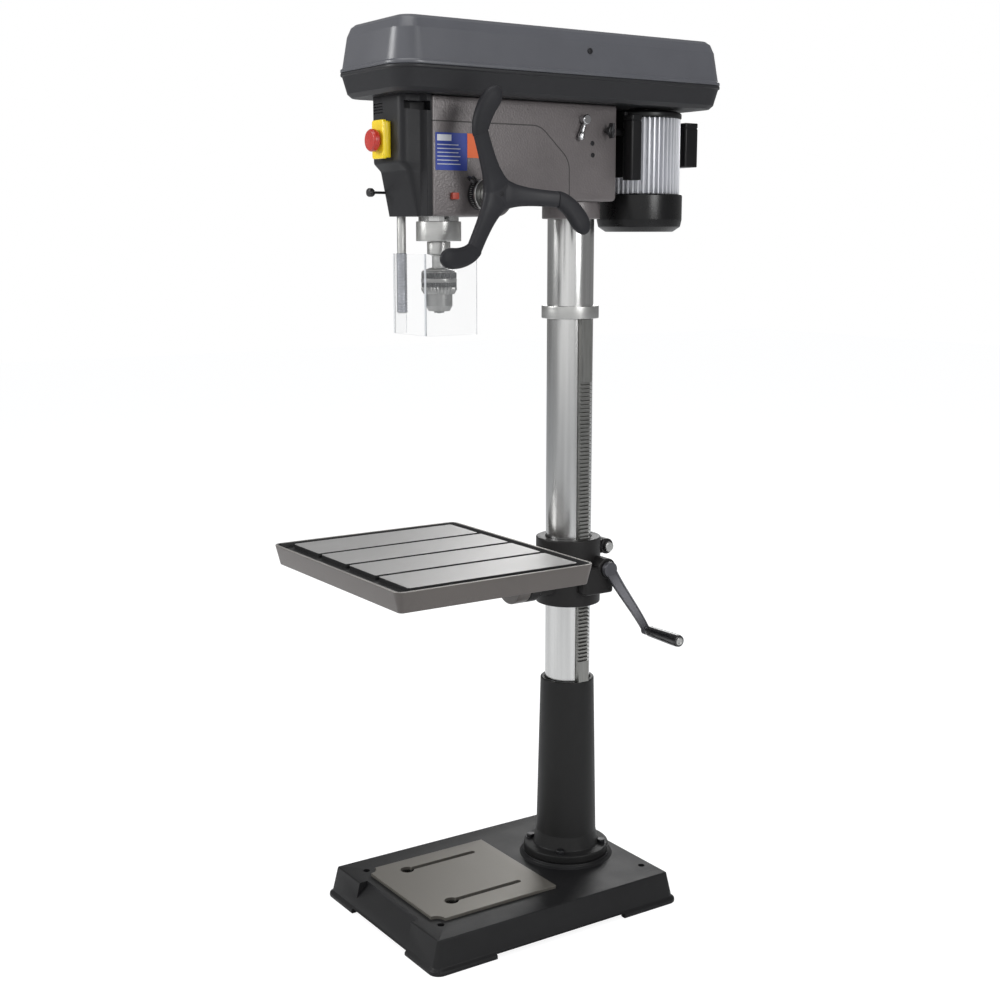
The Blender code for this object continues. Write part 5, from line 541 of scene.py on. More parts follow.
# The rim's top faces: rubbed wear, and a painted highlight along its top edges.
rim_top_wear_and_highlight = ~inside & (z > TABLE_TOP - 0.0009)
repaint(table, inside + 2 * rim_top_wear_and_highlight, trough_paint, rim_wear_and_highlight_iron)
edges = np.linspace(-1, 1, STRIPS + 1) * (table_high[0] - TROUGH_SIDE)
planed = put("table_strips", [
    bar(left + (GROOVE_HALF if number else 0), right - (GROOVE_HALF if number < STRIPS - 1 else 0),
        table_low[1] + TROUGH_FRONT, table_high[1] - TROUGH_SIDE,
        TABLE_TOP - 0.012, TABLE_TOP - 0.0001, 0.004, 0.01, 0.0008)
    for number, (left, right) in enumerate(zip(edges, edges[1:]))], "table", "table_iron", planed_iron)
repaint(planed, of_faces(planed, "normal")[:, 2] < 0.3, trough_paint)
disc_front = table_high[1] - 0.030
put("table_underside", [
    tube(0.0085, DISC_RADIUS, disc_front, table_high[1], "y", AT_TILT, 0.003),
    bar(-0.030, 0.030, disc_front + 0.001, table_high[1] - 0.001, TILT_Z + 0.020, TABLE_TOP - 0.013,
        0.004, 0.01),
    prism([(disc_front + 0.004, TILT_Z - 0.025), (disc_front + 0.004, TABLE_TOP - 0.014),
           (table_low[1] + 0.06, TABLE_TOP - 0.014), (table_low[1] + 0.06, TABLE_TOP - 0.028)],
          -0.007, 0.007)[..., [2, 0, 1]]],
    "table", "table_iron", table_paint)

# ---- Head casting -----------------------------------------------------------------------------
# The head is one iron casting in hammered grey enamel. A split boss under it grips the column, and
# the quill slides in its bored front.
head_low, head_high = node_box("head_casting")
SPINDLE_Y, IDLER_Y, MOTOR_Y = -0.305, -0.078, 0.172
AT_SPINDLE, AT_IDLER, AT_MOTOR = ((0, y, 0) for y in (SPINDLE_Y, IDLER_Y, MOTOR_Y))
HEAD_FOOT, HEAD_STEP = 1.386, 0.0305                  # the underside, and its step up to the rear
HEAD_TOP, HEAD_HALF, FACE_Y = head_high[2], head_high[0], head_low[1]
BOSS_FOOT = HEAD_FOOT + HEAD_STEP - 0.033
FEED_Y, FEED_Z = -0.2575, HEAD_FOOT + 0.0385
AT_FEED = (0, FEED_Y, FEED_Z)
PULLEY_BORE_DEPTH = 0.0377
hammered = finish("hammered_grey", (99, 94, 94), 0.42, 0.25, 0.12, 11, 300, 0.0006, coat=0.3, cells=True)
HEAD = "frame", "head_paint", hammered
floor_end = FEED_Y + 0.052
side_view = fillet([
    (FACE_Y, HEAD_FOOT), (floor_end, HEAD_FOOT), (floor_end + HEAD_STEP, HEAD_FOOT + HEAD_STEP),
    (head_high[1], HEAD_FOOT + HEAD_STEP), (head_high[1], HEAD_TOP), (FACE_Y, HEAD_TOP)],
    np.array([0.006, 0.03, 0.03, 0.010, 0.006, 0.006]), 6, True)
head = put("head", [slab(side_view, -HEAD_HALF, HEAD_HALF, 0.004)[..., [2, 0, 1]]], *HEAD, ["head_casting"])
carve(head, [lathe([(radius, low), (radius, high)], lay, at, sides=sides)
             for radius, low, high, lay, at, sides in (
                 (0.0378, HEAD_FOOT - 0.01, HEAD_TOP - PULLEY_BORE_DEPTH, "z", AT_SPINDLE, 96),
                 (0.0265, HEAD_TOP - 0.045, HEAD_TOP + 0.01, "z", AT_SPINDLE, 96),
                 (0.0145, -0.0157, 0.09, "x", AT_FEED, 64), (0.0095, -0.09, 0, "x", AT_FEED, 64),
                 (COLUMN_BORE, HEAD_FOOT - 0.05, column_high[2] + SEAT, "z", (0, 0, 0), 96))])
put("head_boss", [tube(COLUMN_BORE, 0.057, BOSS_FOOT, HEAD_FOOT + 0.034, soft=0.0025)], *HEAD)
plate_blue = finish("plate_blue", (38, 58, 140), 0.35, 0.0, 0.05, 30, 1200, 0.00001, coat=0.3)
plate_orange = finish("plate_orange", (214, 96, 42), 0.35, 0.0, 0.05, 30, 1200, 0.00001, coat=0.3)
plate_grey = finish("plate_grey", (205, 207, 212), 0.4, 0.0, 0.04, 30, 1200, 0.00001)


def plate(y0, y1, z0, z1, thick):
    """A thin plate lying on the head's right side: a box whose height runs along X."""
    flat = bar(z0, z1, y0, y1, 0, thick, 0.0006, 0.0006, 0.0001)
    return flat[..., [2, 1, 0]] + (HEAD_HALF + 0.0001, 0, 0)


def beside(line):
    """Unit vectors square to a line of points, on its left."""
    along = np.gradient(line, axis=0)
    return np.stack([-along[:, 1], along[:, 0]], -1) / np.linalg.norm(along, axis=1)[:, None]


LINE_TOP, LINE_PITCH = 1.5110, 0.0068
for name, plates, material in (
        ("head_plate", [(-0.3535, -0.2865, 1.467, 1.533, 0.0006)], plate_blue),
        ("head_plate_bands", [(-0.3500, -0.3200, 1.5185, 1.5295, 0.0009)] + [
            (-0.3500, -0.3050 + 0.004 * (row % 2), LINE_TOP - LINE_PITCH * row,
             LINE_TOP + 0.0015 - LINE_PITCH * row, 0.0008) for row in range(6)], plate_grey),
        ("head_plate_patch", [(-0.2860, -0.2500, 1.490, 1.533, 0.0006)], plate_orange)):
    put(name, [plate(*sides) for sides in plates], "frame", "head_paint", material)
seam = fillet([(FACE_Y + 0.0005, 1.5530), (-0.1240, 1.5530), (-0.0565, 1.4920), (-0.0560, 1.4200)], 0.045, 14)
seam_section = np.array([(-1.1, -1.2), (-1.1, 0.15), (-0.8, 0.30), (0.8, 0.30), (1.1, 0.15),
                         (1.1, -1.2)]) / 1000
seam_yz = seam[:, None] + beside(seam)[:, None] * seam_section[:, :1]
seam_x = np.broadcast_to(HEAD_HALF + seam_section[:, 1:], seam_yz.shape[:2] + (1,))
seam_dark = finish("seam_shadow", (52, 49, 49), 0.5, 0.1, 0.08, 20, 900, 0.00005)
put("head_seam", [np.concatenate([seam_x, seam_yz], -1)], "frame", "head_paint", seam_dark, sharp=60)
put("head_plugs", [lathe([
    (AXIS, -0.001), (0.0046, -0.001), (0.0046, 0.0005), (0.0036, 0.0011), (AXIS, 0.0013)],
    "x", (HEAD_HALF, y, z), 0.0003, 36) for y, z in ((-0.002, 1.525), (-0.001, 1.503))],
    "frame", "dark_steel", screw_dark)

# ---- Nose cover -------------------------------------------------------------------------------
# A moulded black plastic shell screwed to the head's face. It hides the switch's wiring, and its
# lower front slopes back to clear the chuck guard.
nose_low, nose_high = node_box("nose_cover")
NOSE_FRONT, NOSE_FOOT, NOSE_TOP, NOSE_HALF = nose_low[1], nose_low[2], nose_high[2], 0.055
LOUVRE_PITCH = 0.0052
nose_black = finish("nose_plastic", (32, 32, 34), 0.46, 0.0, 0.05, 18, 1600, 0.00008, shine=0.22)


def nose_ring(stand_back):
    """One level's outline: a round-cornered front that stands back and spreads to the head's width."""
    front = NOSE_FRONT + stand_back
    side = fillet([
        (HEAD_HALF, FACE_Y - SEAT), (HEAD_HALF, FACE_Y - 0.010), (NOSE_HALF + 0.002, FACE_Y - 0.017),
        (NOSE_HALF - stand_back * 0.12, front), (0, front)], np.array([0, 0.003, 0.004, 0.016, 0]), 7)
    return np.vstack([side, side[::-1][1:] * (-1, 1)])


nose_line = fillet([(0.034, NOSE_FOOT), (0.015, NOSE_FOOT + 0.080), (0, NOSE_FOOT + 0.094),
                    (0, NOSE_TOP)], 0.008)
nose = put("nose_shell", [raised(np.stack([nose_ring(back) for back in nose_line[:, 0]]), nose_line[:, 1])],
           "frame", "nose_plastic", nose_black, ["nose_cover"])
slot_foot = NOSE_TOP - 0.0280
slot_plan = [(HEAD_HALF - 0.034, NOSE_FRONT + 0.007), (HEAD_HALF + 0.012, NOSE_FRONT + 0.007),
             (HEAD_HALF + 0.012, FACE_Y - 0.003), (HEAD_HALF - 0.022, FACE_Y - 0.003),
             (HEAD_HALF - 0.032, FACE_Y - 0.019)]
carve(nose, [prism(slot_plan, slot_foot + np.array([0.003, 0.003, 0, 0, 0.002]), slot_foot + 0.0165)])
slot_dark = finish("slot_shadow", (9, 9, 10), 0.8, 0.0, 0.05, 20, 900, 0.00005)
put("nose_slot_floor", [block(HEAD_HALF - 0.0338, HEAD_HALF - 0.0325, NOSE_FRONT + 0.0075, FACE_Y - 0.0040,
                              slot_foot + 0.0006, slot_foot + 0.0160)], "frame", "nose_plastic", slot_dark)
carve(nose, [block(-0.047, -0.010, NOSE_FRONT - 0.01, NOSE_FRONT + 0.0035, top - 0.0145, top - 0.0120)
             for top in NOSE_TOP - LOUVRE_PITCH * np.arange(4)]
      + [block(-0.5, 0.5, NOSE_FRONT - 0.05, NOSE_FRONT + 0.0005, NOSE_TOP - 0.0975, NOSE_TOP - 0.0960)])

# ---- Quill, spindle and chuck -----------------------------------------------------------------
# The quill is a ground steel sleeve with a collar pressed on its end, and the spindle turns inside
# it. The key-type chuck is turned steel with a knurled, toothed sleeve and three hardened jaws.
quill_low, quill_high = node_box("quill")
collar_low, collar_high = node_box("quill_collar")
chuck_low, chuck_high = node_box("chuck_body")
sleeve_low, sleeve_high = node_box("chuck_sleeve")
QUILL_RADIUS, COLLAR_RADIUS, CHUCK_RADIUS, SLEEVE_RADIUS = (
    (high - low)[0] / 2 for low, high in ((quill_low, quill_high), (collar_low, collar_high),
                                          (chuck_low, chuck_high), (sleeve_low, sleeve_high)))
SLEEVE_INNER = CHUCK_RADIUS + 0.0005
# The quill takes the column's finish, with its painted reflection streaks.
refinish(column_steel, "quill")
refinish(turned_steel, "quill_bearing", "spindle_shaft")
put("quill_nose", [tube(QUILL_RADIUS + SEAT, COLLAR_RADIUS, collar_low[2], collar_high[2], at=AT_SPINDLE,
                        soft=0.0012)], "quill", "ring_steel", turned_steel, ["quill_collar"])
top = chuck_high[2]
put("spindle_nose", [lathe([
    (0.002, top - 0.015), (0.0127, top - 0.015), (0.0127, top + 0.022), (0.0218, top + 0.0255),
    (0.0218, quill_low[2] - 0.0008), (0.002, quill_low[2] - 0.0008)], at=AT_SPINDLE, soft=0.0015, sides=80)],
    "spindle", "dark_steel", turned_steel)
chuck_steel = finish("chuck_steel", (138, 138, 136), 0.30, 1.0, 0.06, 24, 1200, 0.00002, (1, 1, 4))
chuck_dark = finish("knurled_steel", (44, 44, 44), 0.38, 1.0, 0.08, 30, 1500)
put("chuck", [lathe([
    (0.0092, chuck_low[2]), (CHUCK_RADIUS - 0.005, chuck_low[2]), (CHUCK_RADIUS, chuck_low[2] + 0.010),
    (CHUCK_RADIUS, top - 0.0035), (CHUCK_RADIUS - 0.008, top), (0.0128, top), (0.0128, top - 0.018),
    (0.0092, top - 0.026)], at=AT_SPINDLE, soft=0.0012, hollow=True)],
    "spindle", "chuck_steel", chuck_steel, ["chuck_body"])


def knurled(profile, count, depth):
    """A turned ring whose outer radius is r - d (1 - |sin(n a / 2)|), so that n ridges stand round it."""
    line = fillet(profile, 0.0006, 2, True)
    line = np.vstack([line, line[:1]])
    a = np.linspace(0, 2 * np.pi, count * 4, endpoint=False)
    outer = (line[:, :1] > SLEEVE_INNER + 0.004) * depth
    r = line[:, :1] - outer * (1 - np.abs(np.sin(count * a / 2)))
    return raised(np.stack([r * np.cos(a), r * np.sin(a)], -1), line[:, 1], at=AT_SPINDLE)


foot, top = sleeve_low[2], sleeve_high[2]
put("chuck_knurl", [
    knurled([(SLEEVE_INNER, low), (SLEEVE_RADIUS - 0.0006, low), (SLEEVE_RADIUS - 0.0006, high),
             (SLEEVE_INNER, high)], 40, 0.0012)
    for low, high in ((foot + 0.0130, foot + 0.0215), (foot + 0.0290, top - 0.0042))],
    "chuck_sleeve", "chuck_steel", chuck_dark, ["chuck_sleeve"], sharp=50)
put("chuck_bands", [
    tube(SLEEVE_INNER, SLEEVE_RADIUS, foot + 0.0217, foot + 0.0288, at=AT_SPINDLE, soft=0.0008),
    lathe([(SLEEVE_INNER, top - 0.0040), (SLEEVE_RADIUS, top - 0.0040), (SLEEVE_RADIUS - 0.0030, top),
           (SLEEVE_INNER, top)], at=AT_SPINDLE, soft=0.0006, hollow=True),
    knurled([(SLEEVE_INNER, foot), (SLEEVE_RADIUS - 0.0045, foot), (SLEEVE_RADIUS, foot + 0.0080),
             (SLEEVE_RADIUS, foot + 0.0128), (SLEEVE_INNER, foot + 0.0128)], 26, 0.0034)],
    "chuck_sleeve", "chuck_steel", chuck_steel, sharp=50)
refinish(finish("jaw_steel", (96, 96, 96), 0.34, 1.0, 0.10, 40, 1500),
         *(f"chuck_jaw_{number}" for number in (1, 2, 3)))

# ---- Feed handle ------------------------------------------------------------------------------
# Three blades moulded as one over a steel hub, each with a soft grip that thickens and curls round
# at its end. The hub turns the pinion that drives the quill.
HANDLE_X, HANDLE_RADIUS, HANDLE_DISH = 0.140, 0.182, 0.0380
BLADE_ANGLE, BLADE_SWEEP = np.radians(116), np.radians(19)
GRIP_START = 0.116
BEND_START = GRIP_START + 0.002
SQUARENESS = 0.72
handle_grey = finish("handle_plastic", (38, 38, 41), 0.46, 0.0, 0.05, 24, 1500, 0.00006, shine=0.22)
grip_grey = finish("soft_grip", (34, 34, 37), 0.56, 0.0, 0.06, 30, 1900, 0.00012, shine=0.22)


def blade(start, end, rows, width_of, thick_of, number):
    """A stretch of one blade. Its middle line is r (cos a, sin a) with a = A - S u^1.3 and u the share of
    the way from the bend's start to the tip. It leaves the hub's plane by D (r / R)^1.3, and its
    section is a superellipse."""
    radius = start + (end - start) * np.linspace(0, 1, rows)
    share = np.clip((radius - BEND_START) / (HANDLE_RADIUS - BEND_START), 0, None)
    angle = BLADE_ANGLE - BLADE_SWEEP * share ** 1.3
    middle = np.stack([radius * np.cos(angle), radius * np.sin(angle)], -1)
    a = np.linspace(0, 2 * np.pi, 40, endpoint=False)
    across, out = (np.sign(wave) * np.abs(wave) ** SQUARENESS for wave in (np.cos(a), np.sin(a)))
    half, thick = width_of(radius)[:, None] / 2, thick_of(radius)[:, None] / 2
    yz = middle[:, None] + beside(middle)[:, None] * (half * across)[..., None]
    dish = HANDLE_X - 0.0115 + HANDLE_DISH * (radius / HANDLE_RADIUS)[:, None] ** 1.3
    grid = np.concatenate([(dish + thick * out)[..., None], yz], -1)
    return turned_about_x(grid, -120 * number, AT_FEED)


def web(least, flare, flare_start, fade):
    """The web's width or thickness: w + f e^(-(r - s) / d), so that it narrows from its root."""
    return lambda radius: least + flare * np.exp(-np.maximum(radius - flare_start, 0) / fade)


def swollen(least, swell):
    """The grip's width or thickness, which swells and then closes as an ellipse over the last quarter."""
    def size(radius):
        share = (radius - GRIP_START) / (HANDLE_RADIUS - GRIP_START)
        closing = np.sqrt(1 - np.clip((share - 0.72) / 0.285, 0, 1) ** 2)
        return (least + swell * np.sin(share * np.pi / 2)) * closing
    return size


put("handle", [blade(0.004, GRIP_START - SEAT, 32, web(0.0285, 0.034, 0.008, 0.027),
                     web(0.0165, 0.007, 0.020, 0.030), number) for number in range(3)]
    + [lathe([(0.004, -0.0200), (0.025, -0.0200), (0.024, -0.004), (0.020, 0.0008), (0.004, 0.001)],
             "x", (HANDLE_X, FEED_Y, FEED_Z), 0.005)], "feed", "handle_grey", handle_grey, ["feed_spider"])
for number in range(3):
    put(f"handle_grip_{number + 1}", [blade(GRIP_START, HANDLE_RADIUS, 44, swollen(0.0300, 0.0078),
                                            swollen(0.0205, 0.0033), number)],
        "feed", "handle_grey", grip_grey, [f"feed_grip_{number + 1}"], sharp=50)
put("handle_cap", [lathe([(AXIS, 0.0006), (0.0044, 0.0006), (0.0042, 0.0016), (AXIS, 0.0016)],
                         "x", (HANDLE_X, FEED_Y, FEED_Z), 0.0004, 48)], "feed", "handle_grey", screw_dark)
put("feed_hub", [lathe([
    (AXIS, -0.0660), (0.0090, -0.0660), (0.0090, -0.0150), (0.0138, -0.0150), (0.0138, 0.0707),
    (0.0201, 0.0707), (0.0201, 0.1179), (0.0160, 0.1195), (0.0100, 0.1195), (0.0100, 0.1300),
    (AXIS, 0.1300)], "x", AT_FEED)],
    "feed", "ring_steel", turned_steel, ["feed_shaft"])

# ---- Depth ring, its pointer and knob ---------------------------------------------------------
# The ring turns on the feed hub and a small wing knob locks it. Its black face carries plain
# graduations, and a red block on the head is the pointer.
depth_low, depth_high = node_box("depth_ring")
RING_START, RING_END, RING_BORE = depth_low[0], depth_high[0], 0.0205
MARKS, LONG_MARK, SHORT_MARK = 48, 0.010, 0.006
ring_black = finish("depth_black", (34, 34, 36), 0.35, 0.2, 0.05, 30, 1400)
mark_white = finish("mark_white", (225, 225, 222), 0.5, 0.0, 0.03, 30, 1400)
put("depth_scale", [tube(RING_BORE, 0.0288, RING_START, RING_END - 0.006, "x", AT_FEED, 0.0008)],
    "depth_ring", "depth_black", ring_black, ["depth_ring"])
put("depth_rim", [tube(RING_BORE, 0.031, RING_END - 0.0058, RING_END, "x", AT_FEED, 0.0012)],
    "depth_ring", "ring_steel", turned_steel)


def mark(turn, length):
    """One graduation, a strip 0.5 mm wide that stands just proud of the ring at its angle."""
    strip = box_rings(-0.00025, 0.00025, -length / 2, length / 2, 0.0001,
                      [(0.0001, 0.0283), (0, 0.0283), (0, 0.02888), (0.0001, 0.02888)], 0.00005, 1)
    strip = strip[..., [1, 0, 2]] + (RING_START + 0.012 - (LONG_MARK - length) / 2, 0, 0)
    return turned_about_x(strip, turn, AT_FEED)


put("depth_marks", [mark(360 / MARKS * step, SHORT_MARK if step % 4 else LONG_MARK) for step in range(MARKS)],
    "depth_ring", "depth_black", mark_white)
pointer_red = finish("pointer_red", (158, 58, 42), 0.4, 0.0, 0.05, 30, 1400, coat=0.2)
put("depth_pointer", [bar(HEAD_HALF, HEAD_HALF + 0.010, -0.323, -0.309, 1.4156, 1.4276, 0.002, 0.004,
                          0.0015)], "frame", "head_paint", pointer_red)


def wing_knob(seat, hub, height, span, stem, stem_start):
    """A turned hub on a stem, and one flat wing plate through it whose tips rise."""
    body = lathe([(0.0006, stem_start), (stem, stem_start), (stem, seat), (hub, seat),
                  (hub * 0.92, seat + height), (0.0006, seat + height)], soft=0.0012, sides=48)
    shoulder, tip = seat + height * 0.5, seat + height * 1.5
    wing = fillet([(-hub * 0.6, seat + 0.001), (hub * 0.6, seat + 0.001), (span / 2, shoulder),
                   (span * 0.45, tip), (0, seat + height * 1.12), (-span * 0.45, tip),
                   (-span / 2, shoulder)], 0.003, 4, True)
    return [body, slab(wing, -0.0024, 0.0024, 0.0008)[..., [0, 2, 1]]]


knob_black = finish("knob_black", (32, 32, 34), 0.34, 0.0, 0.06, 30, 1600, 0.00004, coat=0.2)
put("depth_wing", [turned_about_x(shell, 45, (RING_START + 0.014, FEED_Y, FEED_Z))
                   for shell in wing_knob(0.0314, 0.006, 0.010, 0.022, 0.0029, 0.0207)],
    "depth_knob", "black_plastic", knob_black, ["depth_knob"])

# ---- Return spring cap ------------------------------------------------------------------------
# A pressed steel cup, blacked, on the head's other side. The flat spring coiled in it lifts the quill.
cap_low, cap_high = node_box("spring_cap")
CAP_FACE = cap_low[0]
put("spring_cup", [lathe([
    (0.0305, cap_high[0]), (0.033, cap_high[0]), (0.033, CAP_FACE + 0.001), (0.0285, CAP_FACE),
    (0.006, CAP_FACE), (0.006, CAP_FACE + 0.0025), (0.0305, CAP_FACE + 0.0025)],
    "x", AT_FEED, 0.0025, hollow=True)],
    "frame", "black_metal", black_paint, ["spring_cap"])
refinish(dark_steel, "return_spring")

# ---- Chuck guard ------------------------------------------------------------------------------
# A bright rod hangs from the nose. A ribbed aluminium clamp slides on it and holds a clear bent
# sheet in front of the chuck.
rod_low, rod_high = node_box("guard_rod")
hold_low, hold_high = node_box("shield_clamp")
shield_low, shield_high = node_box("guard_shield")
knob_low, knob_high = node_box("guard_knob")
HOLD_FOOT, HOLD_TOP = hold_low[2], hold_high[2]
ROD_X, ROD_Y = ((rod_low + rod_high) / 2)[:2]
ROD_RADIUS = (rod_high[0] - rod_low[0]) / 2
RIB_PITCH, RIB_RADIUS, RIB_ROOT = 0.0055, 0.0099, 0.0091
SHEET_WALL, SHEET_BEND, SHEET_FLANGE = 0.0022, 0.008, 0.030
put("guard_bar", [tube(AXIS, ROD_RADIUS, rod_low[2], rod_high[2], at=(ROD_X, ROD_Y, 0), sides=56,
                       hollow=False)], "guard_rod", "ring_steel", turned_steel, ["guard_rod"])
clamp_grey = finish("clamp_aluminium", (152, 154, 160), 0.34, 0.8, 0.08, 30, 1100, 0.00004)
ribs = [(ROD_RADIUS + SEAT, HOLD_FOOT)]
for z in np.arange(HOLD_FOOT, HOLD_TOP - 0.004, RIB_PITCH):
    ribs += [(RIB_RADIUS, z), (RIB_RADIUS, z + 0.0036), (RIB_ROOT, z + 0.0040), (RIB_ROOT, z + 0.0051)]
ribs += [(RIB_RADIUS, HOLD_TOP - 0.0005), (ROD_RADIUS + SEAT, HOLD_TOP)]
put("guard_clamp", [
    lathe(ribs, at=(ROD_X, ROD_Y, 0), soft=0.0003, sides=56, hollow=True),
    bar(shield_low[0] + 0.0025, ROD_X - ROD_RADIUS - 0.0004, ROD_Y - 0.005, ROD_Y + 0.014,
        HOLD_FOOT + 0.001, HOLD_TOP - 0.001, 0.001, 0.002, 0.001)],
    "shield", "clamp_aluminium", clamp_grey, ["shield_clamp"])
clear, tree = material_tree("clear_sheet")
haze = wire(tree, "TexNoise", {"Vector": wire(tree, "TexCoord").outputs["Object"], "Scale": 14})
level = wire(tree, "MapRange", {"Value": haze.outputs["Fac"], "To Min": 0.06, "To Max": 0.10})
wire(tree, tree.nodes["Principled BSDF"], {
    "Base Color": (0.70, 0.71, 0.72, 1), "Roughness": 0.08, "IOR": 1.2, "Coat Weight": 0.3,
    "Alpha": level.outputs["Result"]})
# The sheet's cut edges take a pale, glossy colour: a painted highlight for the bright lines along the clear
# sheet's edges.
edge_painted_highlight = finish("sheet_edge_painted_highlight", (200, 202, 205), 0.2, 0.0, 0.03, 30, 900, 0.00001, coat=0.4)


def bent_sheet(depth):
    """The sheet's plan at a depth in from its outer face: a short flange by the rod, the front and the
    long right side, joined by round bends of 8 mm less the depth."""
    left, right, front = shield_low[0] + depth, shield_high[0] - depth, shield_low[1] + depth
    return fillet([(left, shield_low[1] + SHEET_FLANGE), (left, front), (right, front),
                   (right, shield_high[1])], SHEET_BEND - depth, 10)


shield = put("guard_sheet", [prism(np.vstack([bent_sheet(0), bent_sheet(SHEET_WALL)[::-1]]),
                                   shield_low[2], shield_high[2])],
             "shield", "clear_shield", clear, ["guard_shield"])
facing = np.abs(of_faces(shield, "normal"))
areas = np.array([face.area for face in shield.data.polygons])
# The top and bottom edges and the narrow end faces take the painted edge highlight.
repaint(shield, (facing[:, 2] > 0.9) | ((facing[:, 1] > 0.9) & (areas < SHEET_WALL * 0.150)), edge_painted_highlight)
KNOB_FACE = knob_low[1]
put("guard_screw", [lathe([
    (AXIS, KNOB_FACE), (0.0064, KNOB_FACE), (0.008, KNOB_FACE + 0.0025), (0.008, KNOB_FACE + 0.009),
    (0.006, KNOB_FACE + 0.0125), (0.0025, KNOB_FACE + 0.0135), (0.0025, knob_high[1]), (AXIS, knob_high[1])],
    "y", (ROD_X, 0, (knob_low[2] + knob_high[2]) / 2), 0.0012, 64)],
    "guard_knob", "black_plastic", knob_black, ["guard_knob"])

# ---- Switch -----------------------------------------------------------------------------------
# A yellow moulded switch box with a hinged flap. The red mushroom on the flap presses the stop
# button behind it, and the flap lifts to reach the green start button.
box_low, box_high = node_box("switch_box")
flap_low, flap_high = node_box("switch_flap")
stop_low, stop_high = node_box("stop_mushroom")
SWITCH_Z, STOP_Z = (box_low[2] + box_high[2]) / 2, (stop_low[2] + stop_high[2]) / 2
BUTTON_RISE, BUTTON_RADIUS, BUTTON_WELL = 0.013, 0.008, 0.0085
FLAP_HALF, FLAP_FACE, FLAP_WALL = flap_high[0], flap_low[1], 0.002
STOP_RADIUS, STOP_FACE = stop_high[0], stop_low[1]
yellow = finish("switch_yellow", (236, 206, 24), 0.32, 0.0, 0.04, 40, 1500, 0.00003, coat=0.25)
red = finish("stop_red", (176, 42, 33), 0.34, 0.0, 0.05, 40, 1500, 0.00003, coat=0.25)
green = finish("start_green", (30, 130, 60), 0.34, 0.0, 0.05, 40, 1500, 0.00003, coat=0.25)
case = put("switch_case", [bar(box_low[0], box_high[0], -box_high[2], -box_low[2], box_low[1], box_high[1],
                               0.003, 0.004, 0.0012, "y")], "frame", "switch_yellow", yellow, ["switch_box"])
carve(case, [lathe([(BUTTON_WELL, box_low[1] - 0.01), (BUTTON_WELL, box_high[1] - 0.001)], "y",
                   (0, 0, SWITCH_Z + side * BUTTON_RISE), sides=56) for side in (-1, 1)])
for name, slot_name, material in (("start", "start_green", green), ("stop", "stop_red", red)):
    low, high = node_box(f"{name}_button")
    put(f"{name}_key", [tube(AXIS, BUTTON_RADIUS, low[1], high[1], "y", (0, 0, (low[2] + high[2]) / 2), 0.001,
                             56, False)], f"{name}_button", slot_name, material, [f"{name}_button"])
flap = put("switch_lid", [
    box_rings(-FLAP_HALF, FLAP_HALF, -flap_high[2], -flap_low[2], 0.005, [
        (0.0022, flap_high[1]), (0, flap_high[1]), (0, FLAP_FACE + 0.0005), (0.0025, FLAP_FACE),
        (0.010, FLAP_FACE)], 0.0022, lay="y")], "flap", "switch_yellow", yellow, ["switch_flap"])
carve(flap, [block(FLAP_WALL - FLAP_HALF, FLAP_HALF - FLAP_WALL, FLAP_FACE + FLAP_WALL, flap_high[1] + 0.01,
                   flap_low[2] + FLAP_WALL, flap_high[2] - FLAP_WALL),
             lathe([(0.0055, FLAP_FACE - 0.01), (0.0055, flap_high[1] + 0.01)], "y", (0, 0, STOP_Z),
                   sides=56)])
ease(flap, 0.0005)
put("stop_knob", [lathe([
    (AXIS, stop_high[1]), (0.005, stop_high[1]), (0.005, STOP_FACE + 0.013),
    (STOP_RADIUS - 0.0018, STOP_FACE + 0.013), (STOP_RADIUS, STOP_FACE + 0.0105),
    (STOP_RADIUS - 0.0002, STOP_FACE + 0.0035), (STOP_RADIUS - 0.0025, STOP_FACE + 0.0003),
    (STOP_RADIUS - 0.0055, STOP_FACE + 0.0002), (AXIS, STOP_FACE + 0.0014)],
    "y", (0, 0, STOP_Z), 0.0015, 80)],
    "mushroom", "stop_red", red, ["stop_mushroom"])

# ---- Belt tray --------------------------------------------------------------------------------
# A pressed steel tray bolted on the head and powder coated dark grey. Its rim flares out to meet
# the lid, and hinge knuckles are welded to its left side.
tray_low, _ = node_box("belt_tray")
TRAY_FOOT = tray_low[2]
RIM_HALF, RIM_Z = 0.126, HEAD_TOP + 0.0443
COVER_FRONT, COVER_REAR, CORNER = -0.459, 0.297, 0.052
SHEET = 0.0025
through = TRAY_FOOT - 0.01, TRAY_FOOT + 0.02
tray_coat = finish("tray_coat", (40, 40, 42), 0.42, 0.0, 0.06, 14, 1500, 0.00007, shine=0.22)
tray = put("tray", [box_rings(-RIM_HALF, RIM_HALF, COVER_FRONT, COVER_REAR, CORNER, [
    (0.06, TRAY_FOOT + SHEET), (0.0225, TRAY_FOOT + SHEET), (0.0145, TRAY_FOOT + 0.009),
    (0.0060, RIM_Z - 0.0065), (0.0060, RIM_Z), (0, RIM_Z), (0, RIM_Z - 0.0055), (0.0030, RIM_Z - 0.0065),
    (0.012, TRAY_FOOT + 0.007), (0.020, TRAY_FOOT), (0.06, TRAY_FOOT)], 0.0022, 14)],
    "frame", "tray_paint", tray_coat, ["belt_tray"])
carve(tray, [lathe([(radius, z) for z in through], at=at)
             for radius, at in ((0.0275, AT_SPINDLE), (0.0125, AT_IDLER))]
      + [block(-0.0135, 0.0135, MOTOR_Y - 0.0315, MOTOR_Y + 0.0135, *through)])

